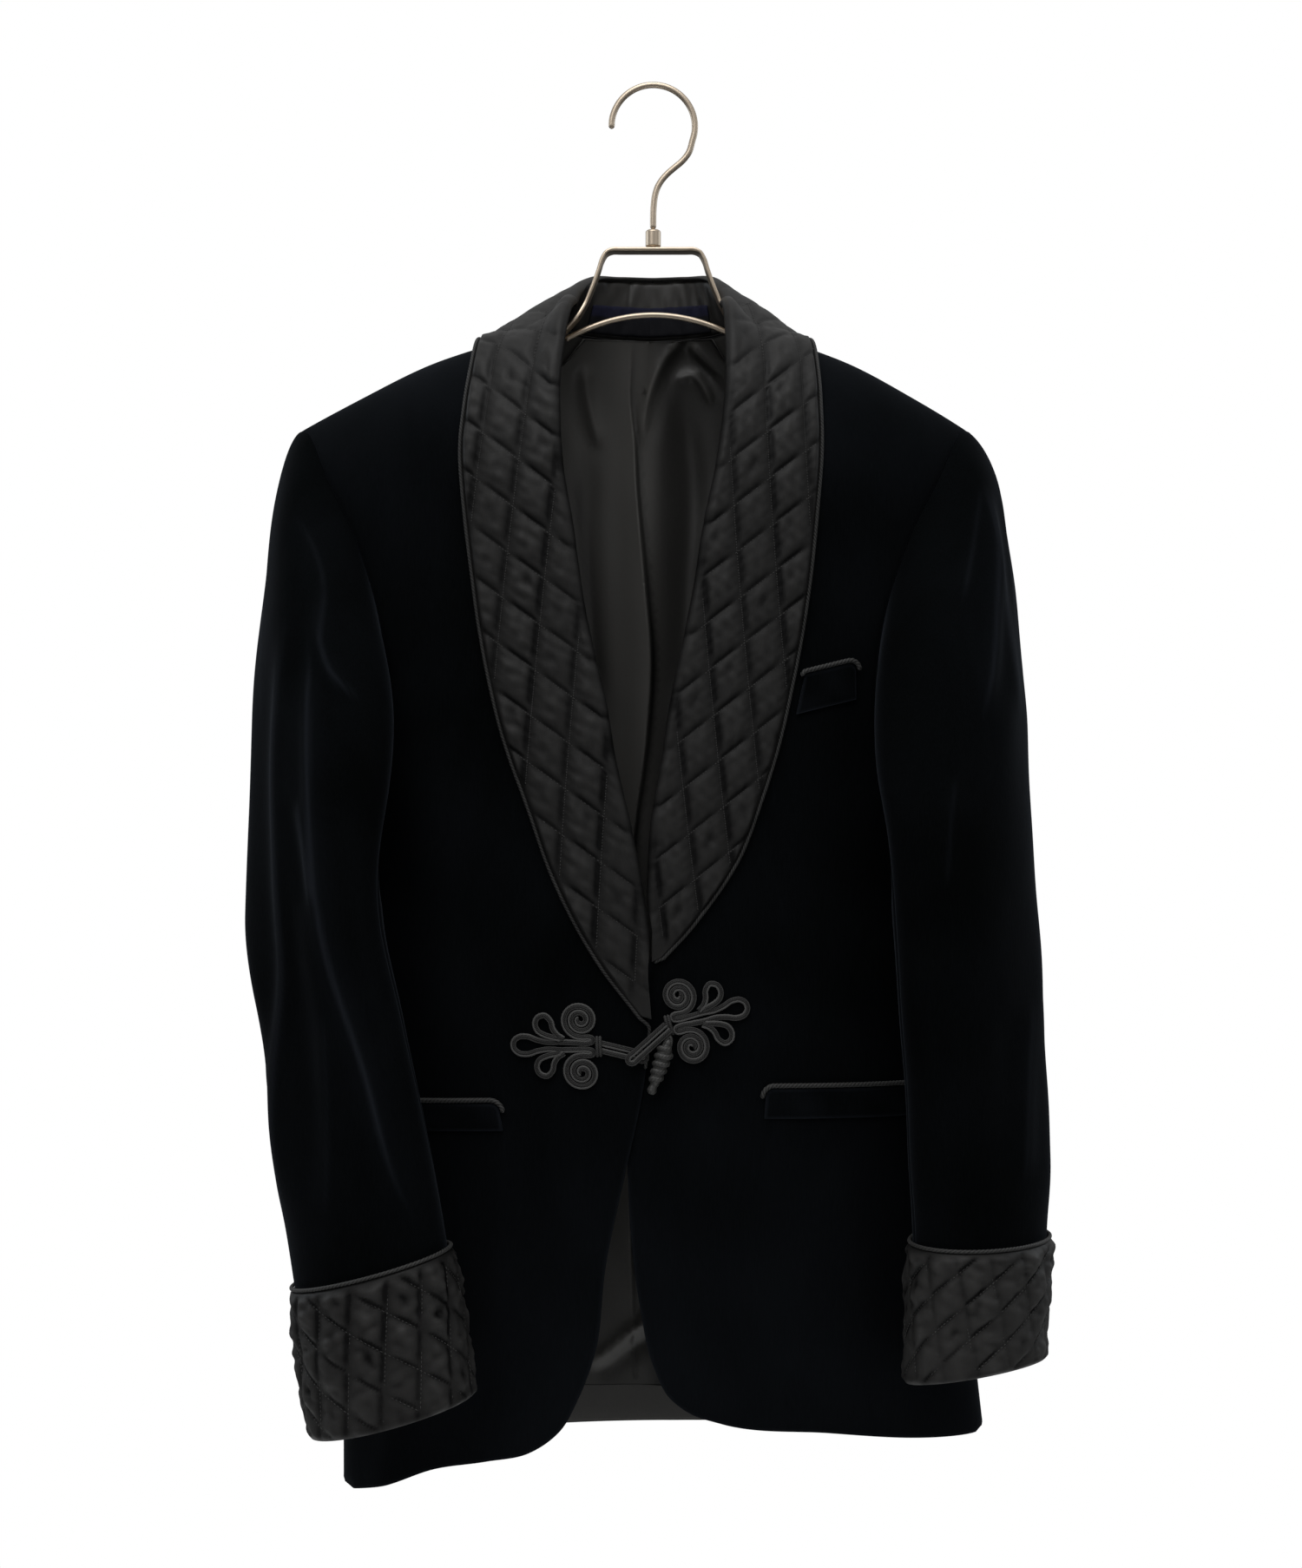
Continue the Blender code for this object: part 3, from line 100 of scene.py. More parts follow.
# armhole: distance from the middle, height, from the shoulder tip to the underarm
ARMHOLE_FRONT: Table = (
    (0.222, -0.2303), (0.199, -0.267), (0.178, -0.31), (0.164, -0.354),
    (0.158, -0.4), (0.16, -0.432), (0.173, -0.457), (0.2009, -0.468),
)
ARMHOLE_BACK: Table = (
    (0.222, -0.2303), (0.207, -0.262), (0.191, -0.305), (0.18, -0.35),
    (0.176, -0.395), (0.179, -0.432), (0.187, -0.457), (0.2009, -0.468),
)
# front edge and hem, from the break down and round to the side: distance from the middle, height
EDGE: dict[Side, Table] = {
    Side.LEFT: (
        (-0.0014, -0.612), (0.0035, -0.649), (0.0185, -0.709), (0.0345, -0.77), (0.0445, -0.826),
        (0.057, -0.856), (0.069, -0.876), (0.09, -0.8915), (0.117, -0.898), (0.15, -0.905),
        (0.185, -0.92), (0.2085, -0.927),
    ),
    Side.RIGHT: (
        (-0.005, -0.59), (-0.0135, -0.627), (-0.0165, -0.68), (-0.018, -0.737),
        (-0.0152, -0.793), (-0.0084, -0.835), (-0.0005, -0.8535), (0.012, -0.864), (0.032, -0.871),
        (0.1035, -0.879), (0.16, -0.886), (0.2085, -0.89),
    ),
}


def smooth(knots: Array, rows: Array, at: Array) -> Array:
    """Cubic through a table's rows.

    Args:
        knots: rising key of each row.
        rows: values of each row.
        at: keys to read the table at.

    Returns:
        The values there.
    """
    knots, rows, at = np.asarray(knots, float), np.asarray(rows, float), np.asarray(at, float)
    slope = np.gradient(rows, knots, axis=0)
    at = np.clip(at, knots[0], knots[-1])
    k = np.clip(np.searchsorted(knots, at, side="right") - 1, 0, len(knots) - 2)
    step = knots[k + 1] - knots[k]
    t = (at - knots[k]) / step
    if rows.ndim > 1:
        t, step = t[..., None], step[..., None]
    return ((1 + 2 * t) * (1 - t) ** 2 * rows[k] + t * (1 - t) ** 2 * step * slope[k]
            + t * t * (3 - 2 * t) * rows[k + 1] + t * t * (t - 1) * step * slope[k + 1])


def ease(low: float, high: float, at: Array) -> Array:
    """Smooth step from 0 at low to 1 at high."""
    t = np.clip((np.asarray(at, float) - low) / (high - low), 0, 1)
    return t * t * (3 - 2 * t)


def bell(off: Array, wide: float) -> Array:
    """1 in the middle, falling off over a width on both sides."""
    return np.exp(-(off / wide) ** 2)


def close(gap: Array, reach: float) -> Array:
    """1 at an edge, falling evenly to 0 at the reach."""
    return np.clip(1 - gap / reach, 0, 1)


def unit(v: Array) -> Array:
    """Vectors of the same direction and length one."""
    return v / np.maximum(np.linalg.norm(v, axis=-1, keepdims=True), 1e-12)


def circle(angle: Array) -> Array:
    """Points of the unit circle at some angles."""
    return np.stack([np.cos(angle), np.sin(angle)], -1)


def runs(points: Array) -> Array:
    """Distance along a line of points, from its first."""
    return np.r_[0, np.cumsum(np.linalg.norm(np.diff(points, axis=0), axis=1))]


def spaced(points: Array, count: int) -> Array:
    """Even points on the smooth line through a table's rows.

    Args:
        points: rows that the line goes through.
        count: how many points to give.

    Returns:
        The points, evenly spaced.
    """
    points = np.asarray(points, float)
    key = runs(points)
    fine = smooth(key, points, np.linspace(0, key[-1], max(400, 3 * count)))
    run = runs(fine)
    even = np.linspace(0, run[-1], count)
    return np.stack([np.interp(even, run, fine[:, c]) for c in range(points.shape[1])], axis=1)


def ripple(at: Array, length: float, seed: int, waves: int = 7) -> Array:
    """Uneven soft waves, the same on every run.

    Args:
        at: points, two or three numbers each.
        length: usual length of a wave.
        seed: which pattern.
        waves: how many plain waves are added.

    Returns:
        A value of about -1 to 1 at each point.
    """
    dice = np.random.default_rng(seed)
    total = np.zeros(at.shape[:-1])
    for _ in range(waves):
        way = unit(dice.normal(size=at.shape[-1]))
        total += np.sin(at @ way * (2 * np.pi / length * dice.uniform(0.65, 1.5)) + dice.uniform(0, 6.28))
    return total / np.sqrt(waves)


@dataclass(frozen=True)
class Crease:
    """A soft ridge with a trough beside it, along a given line."""

    line: Table  # x and z where it hangs
    wide: float
    high: float
    trough: float = 0.5  # depth of the trough as a share of the ridge
    flank: float = 1.0  # which side of the line the trough is on
    pale: float = 0.0  # painted highlight: how much lighter its crest is
    tuck: bool = False  # whether it is a tuck that drops sharply on the trough's side, with a painted shadow beside the drop
    # rows of mesh points beside it, as distances from the line
    beds: tuple[float, ...] = (-0.0024, -0.001, 0.0, 0.0011, 0.0024, 0.0042)

    def beside(self) -> Array:
        """Places of the straight garment in rows along both sides of the line."""
        line = spaced(np.array(self.line), int(runs(np.array(self.line))[-1] / 0.0022))
        way = unit(np.gradient(line, axis=0))
        across = np.stack([way[:, 1], -way[:, 0]], 1) * self.flank
        rows = np.concatenate([line + across * off for off in self.beds])
        swing = np.array(FORM.swing)
        rows[:, 0] -= smooth(swing[:, 0], swing[:, 1], rows[:, 1])
        rows[:, 0] /= 1 - FORM.skew * np.tanh(rows[:, 0] / 0.05)
        return FORM.mapped(rows)

    def felt(self, at: Array) -> Pair:
        """The crease's height, and its painted highlight and shadow, at hung points.

        Args:
            at: hung points.

        Returns:
            The lift and the tone at each: a painted highlight on the crest, and a painted shadow beside a
                tuck's drop.
        """
        line = spaced(np.array(self.line), 56)
        way = unit(np.gradient(line, axis=0))
        here = at[..., [0, 2]].reshape(-1, 2)
        off = here[:, None] - line[None]
        near = (off ** 2).sum(-1).argmin(1)
        gap = off[np.arange(len(here)), near]
        along = (gap * way[near]).sum(1)
        aside = (gap[:, 0] * way[near, 1] - gap[:, 1] * way[near, 0]) * self.flank
        step = np.linalg.norm(line[1] - line[0])
        t = (near + along / step) / (len(line) - 1)
        fade = ease(0, 0.2, t) * (1 - ease(0.8, 1, t))
        ridge = bell(aside, self.wide)
        # painted highlight along the crest
        light = 0.85 * bell(aside, 0.0015) + 0.15 * bell(aside, 1.5 * self.wide)
        if self.tuck:
            steep = bell(aside, 0.4 * self.wide)
            ridge = np.where(aside < 0, np.exp(aside / (3 * self.wide)), steep)
            # painted highlight on the tuck's top and painted shadow just past its drop
            light = ridge * (aside < 0.0006) - 1.6 * bell(aside - 0.0026, 0.0022)
        shape = ridge - self.trough * bell(aside - 2.1 * self.wide, 1.4 * self.wide)
        both = np.stack([self.high * shape * fade, self.pale * light * fade])
        return tuple(both.reshape(2, *at.shape[:-1]))


def creased(creases: tuple[Crease, ...], at: Array) -> Pair:
    """The added height, and painted highlights and shadows, of several creases."""
    both = np.zeros((2, *at.shape[:-1]))
    for crease in creases:
        both += np.stack(crease.felt(at))
    return both[0], both[1]


@dataclass(frozen=True)
class HangingForm:
    """The rounded shape that the jacket takes on its hanger."""

    chest_z: float = -0.3  # above this the form closes towards the shoulder seam
    rise: float = 0.16  # height coordinate from there to the seam
    mid_y: float = -0.005
    girth: float = 0.3  # girth coordinate from the middle to the side seam
    front_power: float = 2.2
    back_power: float = 2.6
    top_power: float = 3.0
    skew: float = 0.027  # the left side hangs a little nearer and wider
    lap_over: float = 0.003  # the left front lies this far over the right one
    # height, half width, front depth, back depth
    rows: Table = (
        (-0.96, 0.2165, 0.073, 0.052), (-0.8, 0.2075, 0.078, 0.055), (-0.62, 0.198, 0.082, 0.058),
        (-0.465, 0.1955, 0.082, 0.058), (-0.3, 0.2165, 0.077, 0.056), (-0.14, 0.236, 0.072, 0.054),
    )
    # distance from the middle, height of the shoulder seam
    shoulder: Table = (
        (0.0, -0.098), (0.03, -0.122), (0.062, -0.157), (0.1, -0.1715),
        (0.14, -0.1865), (0.18, -0.207), (0.222, -0.23), (0.245, -0.244),
    )
    # height, sideways swing of the whole jacket
    swing: Table = ((-0.96, 0.0165), (-0.62, -0.003), (-0.45, -0.009), (-0.23, -0.0065), (-0.12, 0.0))

    def shoulder_z(self, x: Array) -> Array:
        """Height of the shoulder seam at a distance from the middle."""
        rows = np.array(self.shoulder)
        return smooth(rows[:, 0], rows[:, 1], np.abs(x))

    def sizes(self, h: Array) -> tuple[Array, Array, Array]:
        """Half width, front depth and back depth at a height."""
        rows = np.array(self.rows)
        return tuple(np.moveaxis(smooth(rows[:, 0], rows[:, 1:], h), -1, 0))

    def hang(self, p: Array) -> Array:
        """Moves points of the straight garment to where they hang.

        Args:
            p: points of the straight garment.

        Returns:
            The hung points.
        """
        p, rows = np.array(p, float), np.array(self.swing)
        x = p[..., 0] * (1 - self.skew * np.tanh(p[..., 0] / 0.05))
        p[..., 0] = x + smooth(rows[:, 0], rows[:, 1], p[..., 2])
        return p

    def point(self, g: Array, h: Array, face: int) -> Array:
        """A point of the form.

        Args:
            g: girth from the middle.
            h: height coordinate.
            face: -1 for the front, 1 for the back.

        Returns:
            The points of the straight garment.
        """
        g, h = np.asarray(g, float), np.asarray(h, float)
        wide, front, back = self.sizes(h)
        s = np.sin(np.clip(g / self.girth, -1, 1) * np.pi / 2)
        t = np.sin(np.clip((h - self.chest_z) / self.rise, 0, 1) * np.pi / 2)
        x = wide * s
        z = np.where(h > self.chest_z, self.chest_z + (self.shoulder_z(x) - self.chest_z) * t, h)
        power, depth = (self.front_power, front) if face < 0 else (self.back_power, back)
        bulge = np.maximum(1 - np.abs(s) ** power, 0) * (1 - t ** self.top_power)
        return np.stack([x, self.mid_y + face * depth * np.sqrt(bulge), z], axis=-1)

    def coordinates(self, x: Array, z: Array) -> Pair:
        """Girth and height coordinate of places on the form.

        Args:
            x: distance from the middle.
            z: height.

        Returns:
            Girth and height coordinate.
        """
        x, z = np.asarray(x, float), np.asarray(z, float)
        t = np.clip((z - self.chest_z) / (self.shoulder_z(x) - self.chest_z), 0, 1)
        h = np.where(z > self.chest_z, self.chest_z + self.rise * np.arcsin(t) * 2 / np.pi, z)
        return np.arcsin(np.clip(x / self.sizes(h)[0], -1, 1)) * 2 / np.pi * self.girth, h

    def mapped(self, places: Array) -> Array:
        """Girth and height coordinate of rows of x and z."""
        return np.stack(self.coordinates(places[:, 0], places[:, 1]), 1)

    def normal(self, g: Array, h: Array, face: int) -> Array:
        """Outward direction of the form, with the same arguments as point."""
        d = 2e-4
        across = self.point(g + d, h, face) - self.point(g - d, h, face)
        up = self.point(g, h + d, face) - self.point(g, h - d, face)
        return unit(np.cross(across, up)) * -face

    def lap(self, x: Array, side: Side) -> Array:
        """How far the left front is lifted to lie over the right one."""
        x = np.asarray(x, float)
        return self.lap_over * (1 - ease(0.03, 0.09, -x)) if side is Side.LEFT else np.zeros_like(x)

    def on_front(self, side: Side) -> Place:
        """Placement on one front.

        Args:
            side: which front.

        Returns:
            A function of girth from the middle outwards, height and lift.
        """
        def place(g: Array, h: Array, lift: Lift) -> Array:
            """Hung points at girth g, height h and a lift off the cloth."""
            g = np.asarray(g, float) * side.value
            p = self.point(g, h, -1)
            lifted = self.lap(p[..., 0], side) + lift
            return self.hang(p + self.normal(g, h, -1) * np.asarray(lifted)[..., None])
        return place

    def on_back(self, g: Array, h: Array, lift: Lift) -> Array:
        """Hung points of the back at girth g, height h and a lift off the cloth."""
        lift = np.broadcast_to(np.asarray(lift, float), np.shape(g))
        return self.hang(self.point(g, h, 1) + self.normal(g, h, 1) * lift[..., None])

    def armhole(self, table: Table, count: int) -> Array:
        """Girth and height along half of an armhole.

        Args:
            table: the half's distances from the middle and heights.
            count: how many points to give.

        Returns:
            Even points from the shoulder tip to the underarm.
        """
        rows = np.array(table)
        g, h = self.coordinates(rows[:, 0], rows[:, 1])
        g[-1], h[0] = self.girth, self.chest_z + self.rise
        return spaced(np.stack([g, h], 1), count)

    def clear(self, p: Array, gap: Array) -> Array:
        """Moves points that would sink into the form out to a gap beyond it.

        Args:
            p: points of the straight garment.
            gap: how far off the form they may come.

        Returns:
            The points, moved where they had to be.
        """
        p = np.array(p, float)
        wide, front, back = self.sizes(p[..., 2])
        s = np.clip(np.abs(p[..., 0]) / wide, 0, 0.98)
        depth = np.where(p[..., 1] < self.mid_y, front * np.sqrt(1 - s ** self.front_power),
                         back * np.sqrt(1 - s ** self.back_power))
        top = self.shoulder_z(p[..., 0]) - self.chest_z
        y, z = p[..., 1] - self.mid_y, np.maximum(p[..., 2] - self.chest_z, 0)
        for _ in range(12):
            level = (y / (depth + gap)) ** 2 + (z / (top + gap)) ** self.top_power
            grow = np.where(level < 1, np.maximum(level, 0.05) ** -0.45, 1.0)
            y, z = y * grow, z * grow
        p[..., 1] = self.mid_y + y
        p[..., 2] = np.where(p[..., 2] > self.chest_z, self.chest_z + z, p[..., 2])
        return p


FORM = HangingForm()


@dataclass
class Shell:
    """Points and triangles of a piece, with each triangle's kind of finish and each point's tone, which holds
    painted light and shade as well as uneven colour.
    """

    points: Array
    tris: Array
    kinds: Array
    tone: Array | None = None

    def tones(self) -> Array:
        """The tone of every point, 0 where none is set."""
        return np.zeros(len(self.points)) if self.tone is None else self.tone

    def joined(self, other: "Shell") -> "Shell":
        """This shell and another as one."""
        return Shell(np.concatenate([self.points, other.points]),
                     np.concatenate([self.turned_out(), other.turned_out() + len(self.points)]),
                     np.concatenate([self.kinds, other.kinds]), np.concatenate([self.tones(), other.tones()]))

    def turned_out(self) -> Array:
        """The triangles, all facing outwards."""
        a, b, c = self.points[self.tris].transpose(1, 0, 2)
        return self.tris if (np.cross(a, b) * c).sum() > 0 else self.tris[:, ::-1]


def halves(quads: Array) -> Array:
    """Quads cut into triangles."""
    return np.concatenate([quads[:, [0, 1, 2]], quads[:, [0, 2, 3]]])


def grid_quads(rows: int, columns: int, ring: bool = False) -> Array:
    """Quads between the points of a grid.

    Args:
        rows: rows of points.
        columns: points in a row.
        ring: whether each row closes on itself.

    Returns:
        Four point numbers for each quad.
    """
    at = np.arange(rows * columns).reshape(rows, columns)
    if ring:
        at = np.concatenate([at, at[:, :1]], 1)
    return np.stack([at[:-1, :-1], at[:-1, 1:], at[1:, 1:], at[1:, :-1]], -1).reshape(-1, 4)


def walled(outer: Array, inner: Array, tone: Array | None = None) -> Shell:
    """A closed cloth wall between two grids of points.

    Args:
        outer: grid of the face that shows.
        inner: grid of the face behind it.
        tone: how much lighter or darker each point of a grid is.

    Returns:
        The shell, with kind 1 on the face behind.
    """
    rows, columns = outer.shape[:2]
    at = np.arange(rows * columns).reshape(rows, columns)
    quads, base = grid_quads(rows, columns), rows * columns
    rim = np.concatenate([at[0, :-1], at[:-1, -1], at[-1, :0:-1], at[:0:-1, 0]])
    after = np.roll(rim, -1)
    edge = np.stack([after, rim, rim + base, after + base], 1)
    tris = [halves(quads), halves(quads[:, ::-1] + base), halves(edge)]
    kinds = np.repeat([0, 1, 0], [len(t) for t in tris])
    tone = None if tone is None else np.tile(tone.ravel(), 2)
    points = np.concatenate([outer.reshape(-1, 3), inner.reshape(-1, 3)])
    return Shell(points, np.concatenate(tris), kinds, tone)


def stitched(starts: Array, ends: Array, ups: Array, half: float = 0.00027, pale: float = 0.35) -> Shell:
    """Short thread stitches, each a slim bead of eight faces.

    Args:
        starts: where each stitch starts.
        ends: where the next one starts.
        ups: upward direction at each.
        half: half of the thread's thickness.
        pale: how much lighter the thread is.

    Returns:
        The shell, of kind 2.
    """
    way = ends - starts
    across, rise = unit(np.cross(way, ups)) * half, unit(ups) * half
    middle = starts + 0.48 * way
    points = np.stack([starts + 0.1 * way, starts + 0.86 * way, middle + across, middle + rise,
                       middle - across, middle - rise], 1)
    corner = np.array([(0, 2, 3), (0, 3, 4), (0, 4, 5), (0, 5, 2),
                       (1, 3, 2), (1, 4, 3), (1, 5, 4), (1, 2, 5)])
    tris = (corner[None] + 6 * np.arange(len(points))[:, None, None]).reshape(-1, 3)
    return Shell(points.reshape(-1, 3), tris, np.full(len(tris), 2), np.full(6 * len(points), pale))


def swept(centres: Array, ups: Array, profile: Array, ring: bool = False) -> Shell:
    """A section carried along a line.

    Args:
        centres: points of the line.
        ups: upward direction at each, or one for all.
        profile: across and up of the section, for each point of the line or for all.
        ring: whether the line closes on itself.

    Returns:
        The shell, closed at its ends.
    """
    along = np.roll(centres, -1, 0) - np.roll(centres, 1, 0) if ring else np.gradient(centres, axis=0)
    along = unit(along)
    across = unit(np.cross(along, ups))
    ups = np.cross(across, along)
    profile = np.broadcast_to(profile, (len(centres), *profile.shape[-2:]))
    points = centres[:, None] + across[:, None] * profile[..., :1] + ups[:, None] * profile[..., 1:]
    count, sides = points.shape[:2]
    if ring:
        at = np.arange(count * sides).reshape(count, sides)
        at = np.concatenate([at, at[:1]])
        at = np.concatenate([at, at[:, :1]], 1)
        quads = np.stack([at[:-1, :-1], at[:-1, 1:], at[1:, 1:], at[1:, :-1]], -1).reshape(-1, 4)
        tris = halves(quads)
    else:
        fan = np.array([(0, j + 1, j) for j in range(1, sides - 1)])
        skin = halves(grid_quads(count, sides, True))
        tris = np.concatenate([skin, fan, fan[:, ::-1] + (count - 1) * sides])
    return Shell(points.reshape(-1, 3), tris, np.zeros(len(tris), int))


def rope(centres: Array, ups: Array, radius: float, lay: float, strands: int = 3, sides: int = 15,
         depth: float = 0.26, ring: bool = False, taper: float = 0.0) -> Shell:
    """A twisted cord along a line.

    Args:
        centres: points of the line, closer than a quarter of a strand.
        ups: upward direction at each.
        radius: the cord's radius.
        lay: distance from one strand's ridge to the next.
        strands: how many strands.
        sides: points round the cord.
        depth: depth of the grooves as a share of the radius.
        ring: whether the cord closes on itself.
        taper: length over which its ends round off.

    Returns:
        The shell, with painted highlights on the strands' ridges and painted shade in the grooves between
        them.
    """
    run = runs(np.concatenate([centres, centres[:1]])) if ring else runs(centres)
    total, run = run[-1], run[:len(centres)]
    turn = 2 * np.pi * run / (lay * strands)
    if ring:
        turn *= round(total / (lay * strands)) / (total / (lay * strands))
    angle = np.arange(sides) * 2 * np.pi / sides
    lobe = np.abs(np.cos(strands / 2 * (angle[None] - turn[:, None])))
    size = radius * (1 - depth * (1 - lobe ** 0.7))
    if taper:
        end = np.clip(np.minimum(run, total - run) / taper, 0, 1)
        size = size * np.sqrt(np.maximum(1 - (1 - end) ** 2, 0.02))[:, None]
    shell = swept(centres, ups, circle(angle)[None] * size[..., None], ring)
    # painted highlight on each strand's ridge, painted shade between strands
    shell.tone = 0.5 * (lobe.ravel() - 0.62)
    return shell


def dense(line: Array, ups: Array, step: float, ring: bool = False) -> Pair:
    """A line and its upward directions with closer points.

    Args:
        line: points of the line.
        ups: upward direction at each.
        step: distance between the new points.
        ring: whether the line closes on itself.

    Returns:
        The new points and directions.
    """
    both = np.concatenate([line, ups], 1)
    if ring:
        both = np.concatenate([both[-2:], both, both[:3]])
    key = runs(both[:, :3])
    low, high = (key[2], key[-3]) if ring else (0.0, key[-1])
    at = np.linspace(low, high, int((high - low) / step) + 2)
    fine = smooth(key, both, at[:-1] if ring else at)
    return fine[:, :3], unit(fine[:, 3:])


@dataclass
class Pattern:
    """A flat cloth piece: an outline in its own map, filled with points and laid on a form."""

    outline: Array
    place: Place
    thick: float
    step: float
    relief: Relief
    lift: float = 0.0  # of the face that shows
    drop: float = 0.001  # how far its edges turn down
    reach: float = 0.0034
    rim: float = 0.16  # painted sheen: how much lighter its edges are
    extra: Array | None = None  # more points of the map, beside folds
    insets: tuple[float, float] = (0.001, 0.0024)  # rows of points inside the outline

    def gaps(self, points: Array) -> Array:
        """Distance of points to the outline, negative outside it.

        Args:
            points: places in the map.

        Returns:
            The distances.
        """
        a, b = self.outline, np.roll(self.outline, -1, axis=0)
        edge = b - a
        found = []
        for p in np.array_split(points[:, None, :], max(1, len(points) // 1500)):
            crosses = (a[:, 1] > p[..., 1]) != (b[:, 1] > p[..., 1])
            slope = np.where(edge[:, 1] == 0, 1e-12, edge[:, 1])
            at = edge[:, 0] * (p[..., 1] - a[:, 1]) / slope + a[:, 0]
            within = (crosses & (p[..., 0] < at)).sum(1) % 2
            t = np.clip(((p - a) * edge).sum(-1) / np.maximum((edge * edge).sum(-1), 1e-18), 0, 1)
            gap = np.linalg.norm(p - a - t[..., None] * edge, axis=-1).min(1)
            found.append(np.where(within == 1, gap, -gap))
        return np.concatenate(found)

    def filled(self) -> Pair:
        """Points of the map, the outline's first, and their distances to it."""
        way = unit(np.roll(self.outline, -1, 0) - np.roll(self.outline, 1, 0))
        inwards = np.stack([-way[:, 1], way[:, 0]], 1)
        x, y = self.outline.T
        if (x * np.roll(y, -1) - y * np.roll(x, -1)).sum() < 0:
            inwards = -inwards
        kept = [self.outline]
        gaps = [np.zeros(len(self.outline))]
        for inset in self.insets:
            ring = self.outline + inwards * inset
            gap = self.gaps(ring)
            keep = gap > 0.8 * inset
            kept.append(ring[keep])
            gaps.append(gap[keep])
        low, high = self.outline.min(0), self.outline.max(0)
        axes = [np.arange(a, b, self.step) for a, b in zip(low, high)]
        grid = np.stack(np.meshgrid(*axes), -1)
        grid[1::2, :, 0] += self.step / 2
        grid = grid.reshape(-1, 2)
        if self.extra is not None:
            grid = np.concatenate([grid, self.extra])
        gap = self.gaps(grid)
        keep = gap > self.insets[-1] + 0.4 * self.step
        return np.concatenate([*kept, grid[keep]]), np.concatenate([*gaps, gap[keep]])

    def shell(self) -> Shell:
        """The piece as a closed shell, with kind 1 on its hidden face."""
        flat, gap = self.filled()
        count, total = len(self.outline), len(flat)
        edges = [(i, (i + 1) % count) for i in range(count)]
        made = geometry.delaunay_2d_cdt([tuple(p) for p in flat.tolist()], edges, [], 1, 1e-7)
        origin = np.array([ids[0] for ids in made[3]])
        tris = origin[np.array(made[2])]
        level = np.full(total, self.lift)
        rise, tone = self.relief(self.place(flat[:, 0], flat[:, 1], level))
        # painted sheen along the piece's edges
        tone = tone + self.rim * close(gap, 0.002)
        fall = self.drop * close(gap, self.reach) ** 2
        outer = self.place(flat[:, 0], flat[:, 1], level + rise - fall)
        inner = self.place(flat[:, 0], flat[:, 1], level + rise - self.thick + 0.3 * fall)
        rim = np.arange(count)
        after = np.roll(rim, -1)
        edge = halves(np.stack([after, rim, rim + total, after + total], 1))
        parts = [tris, tris[:, ::-1] + total, edge]
        kinds = np.repeat([0, 1, 0], [len(t) for t in parts])
        return Shell(np.concatenate([outer, inner]), np.concatenate(parts), kinds, np.tile(tone, 2))


class Sketch:
    """Adds and links the nodes of one shader tree."""

    def __init__(self, tree: bpy.types.NodeTree) -> None:
        """Starts with an empty tree."""
        self.tree = tree
        tree.nodes.clear()

    def add(self, kind: str, sockets: dict[Any, Any] | None = None, **settings: Any) -> bpy.types.Node:
        """Adds a node.

        Args:
            kind: the node's type.
            sockets: value or source of each input.
            **settings: the node's own options.

        Returns:
            The node.
        """
        node = self.tree.nodes.new(kind)
        for key, value in settings.items():
            setattr(node, key, value)
        for key, value in (sockets or {}).items():
            if isinstance(value, bpy.types.NodeSocket):
                self.tree.links.new(value, node.inputs[key])
            else:
                node.inputs[key].default_value = value
        return node

    def blend(self, share: Any, low: Colour, high: Colour) -> bpy.types.NodeSocket:
        """A colour between two, by the share of the second."""
        node = self.add("ShaderNodeMix", {0: share, 6: (*low, 1), 7: (*high, 1)}, data_type="RGBA")
        return node.outputs[2]

    def scaled(self, value: Any, low: float, high: float) -> bpy.types.NodeSocket:
        """A value from 0 to 1 stretched between two others."""
        return self.add("ShaderNodeMapRange", {0: value, 3: low, 4: high}).outputs[0]


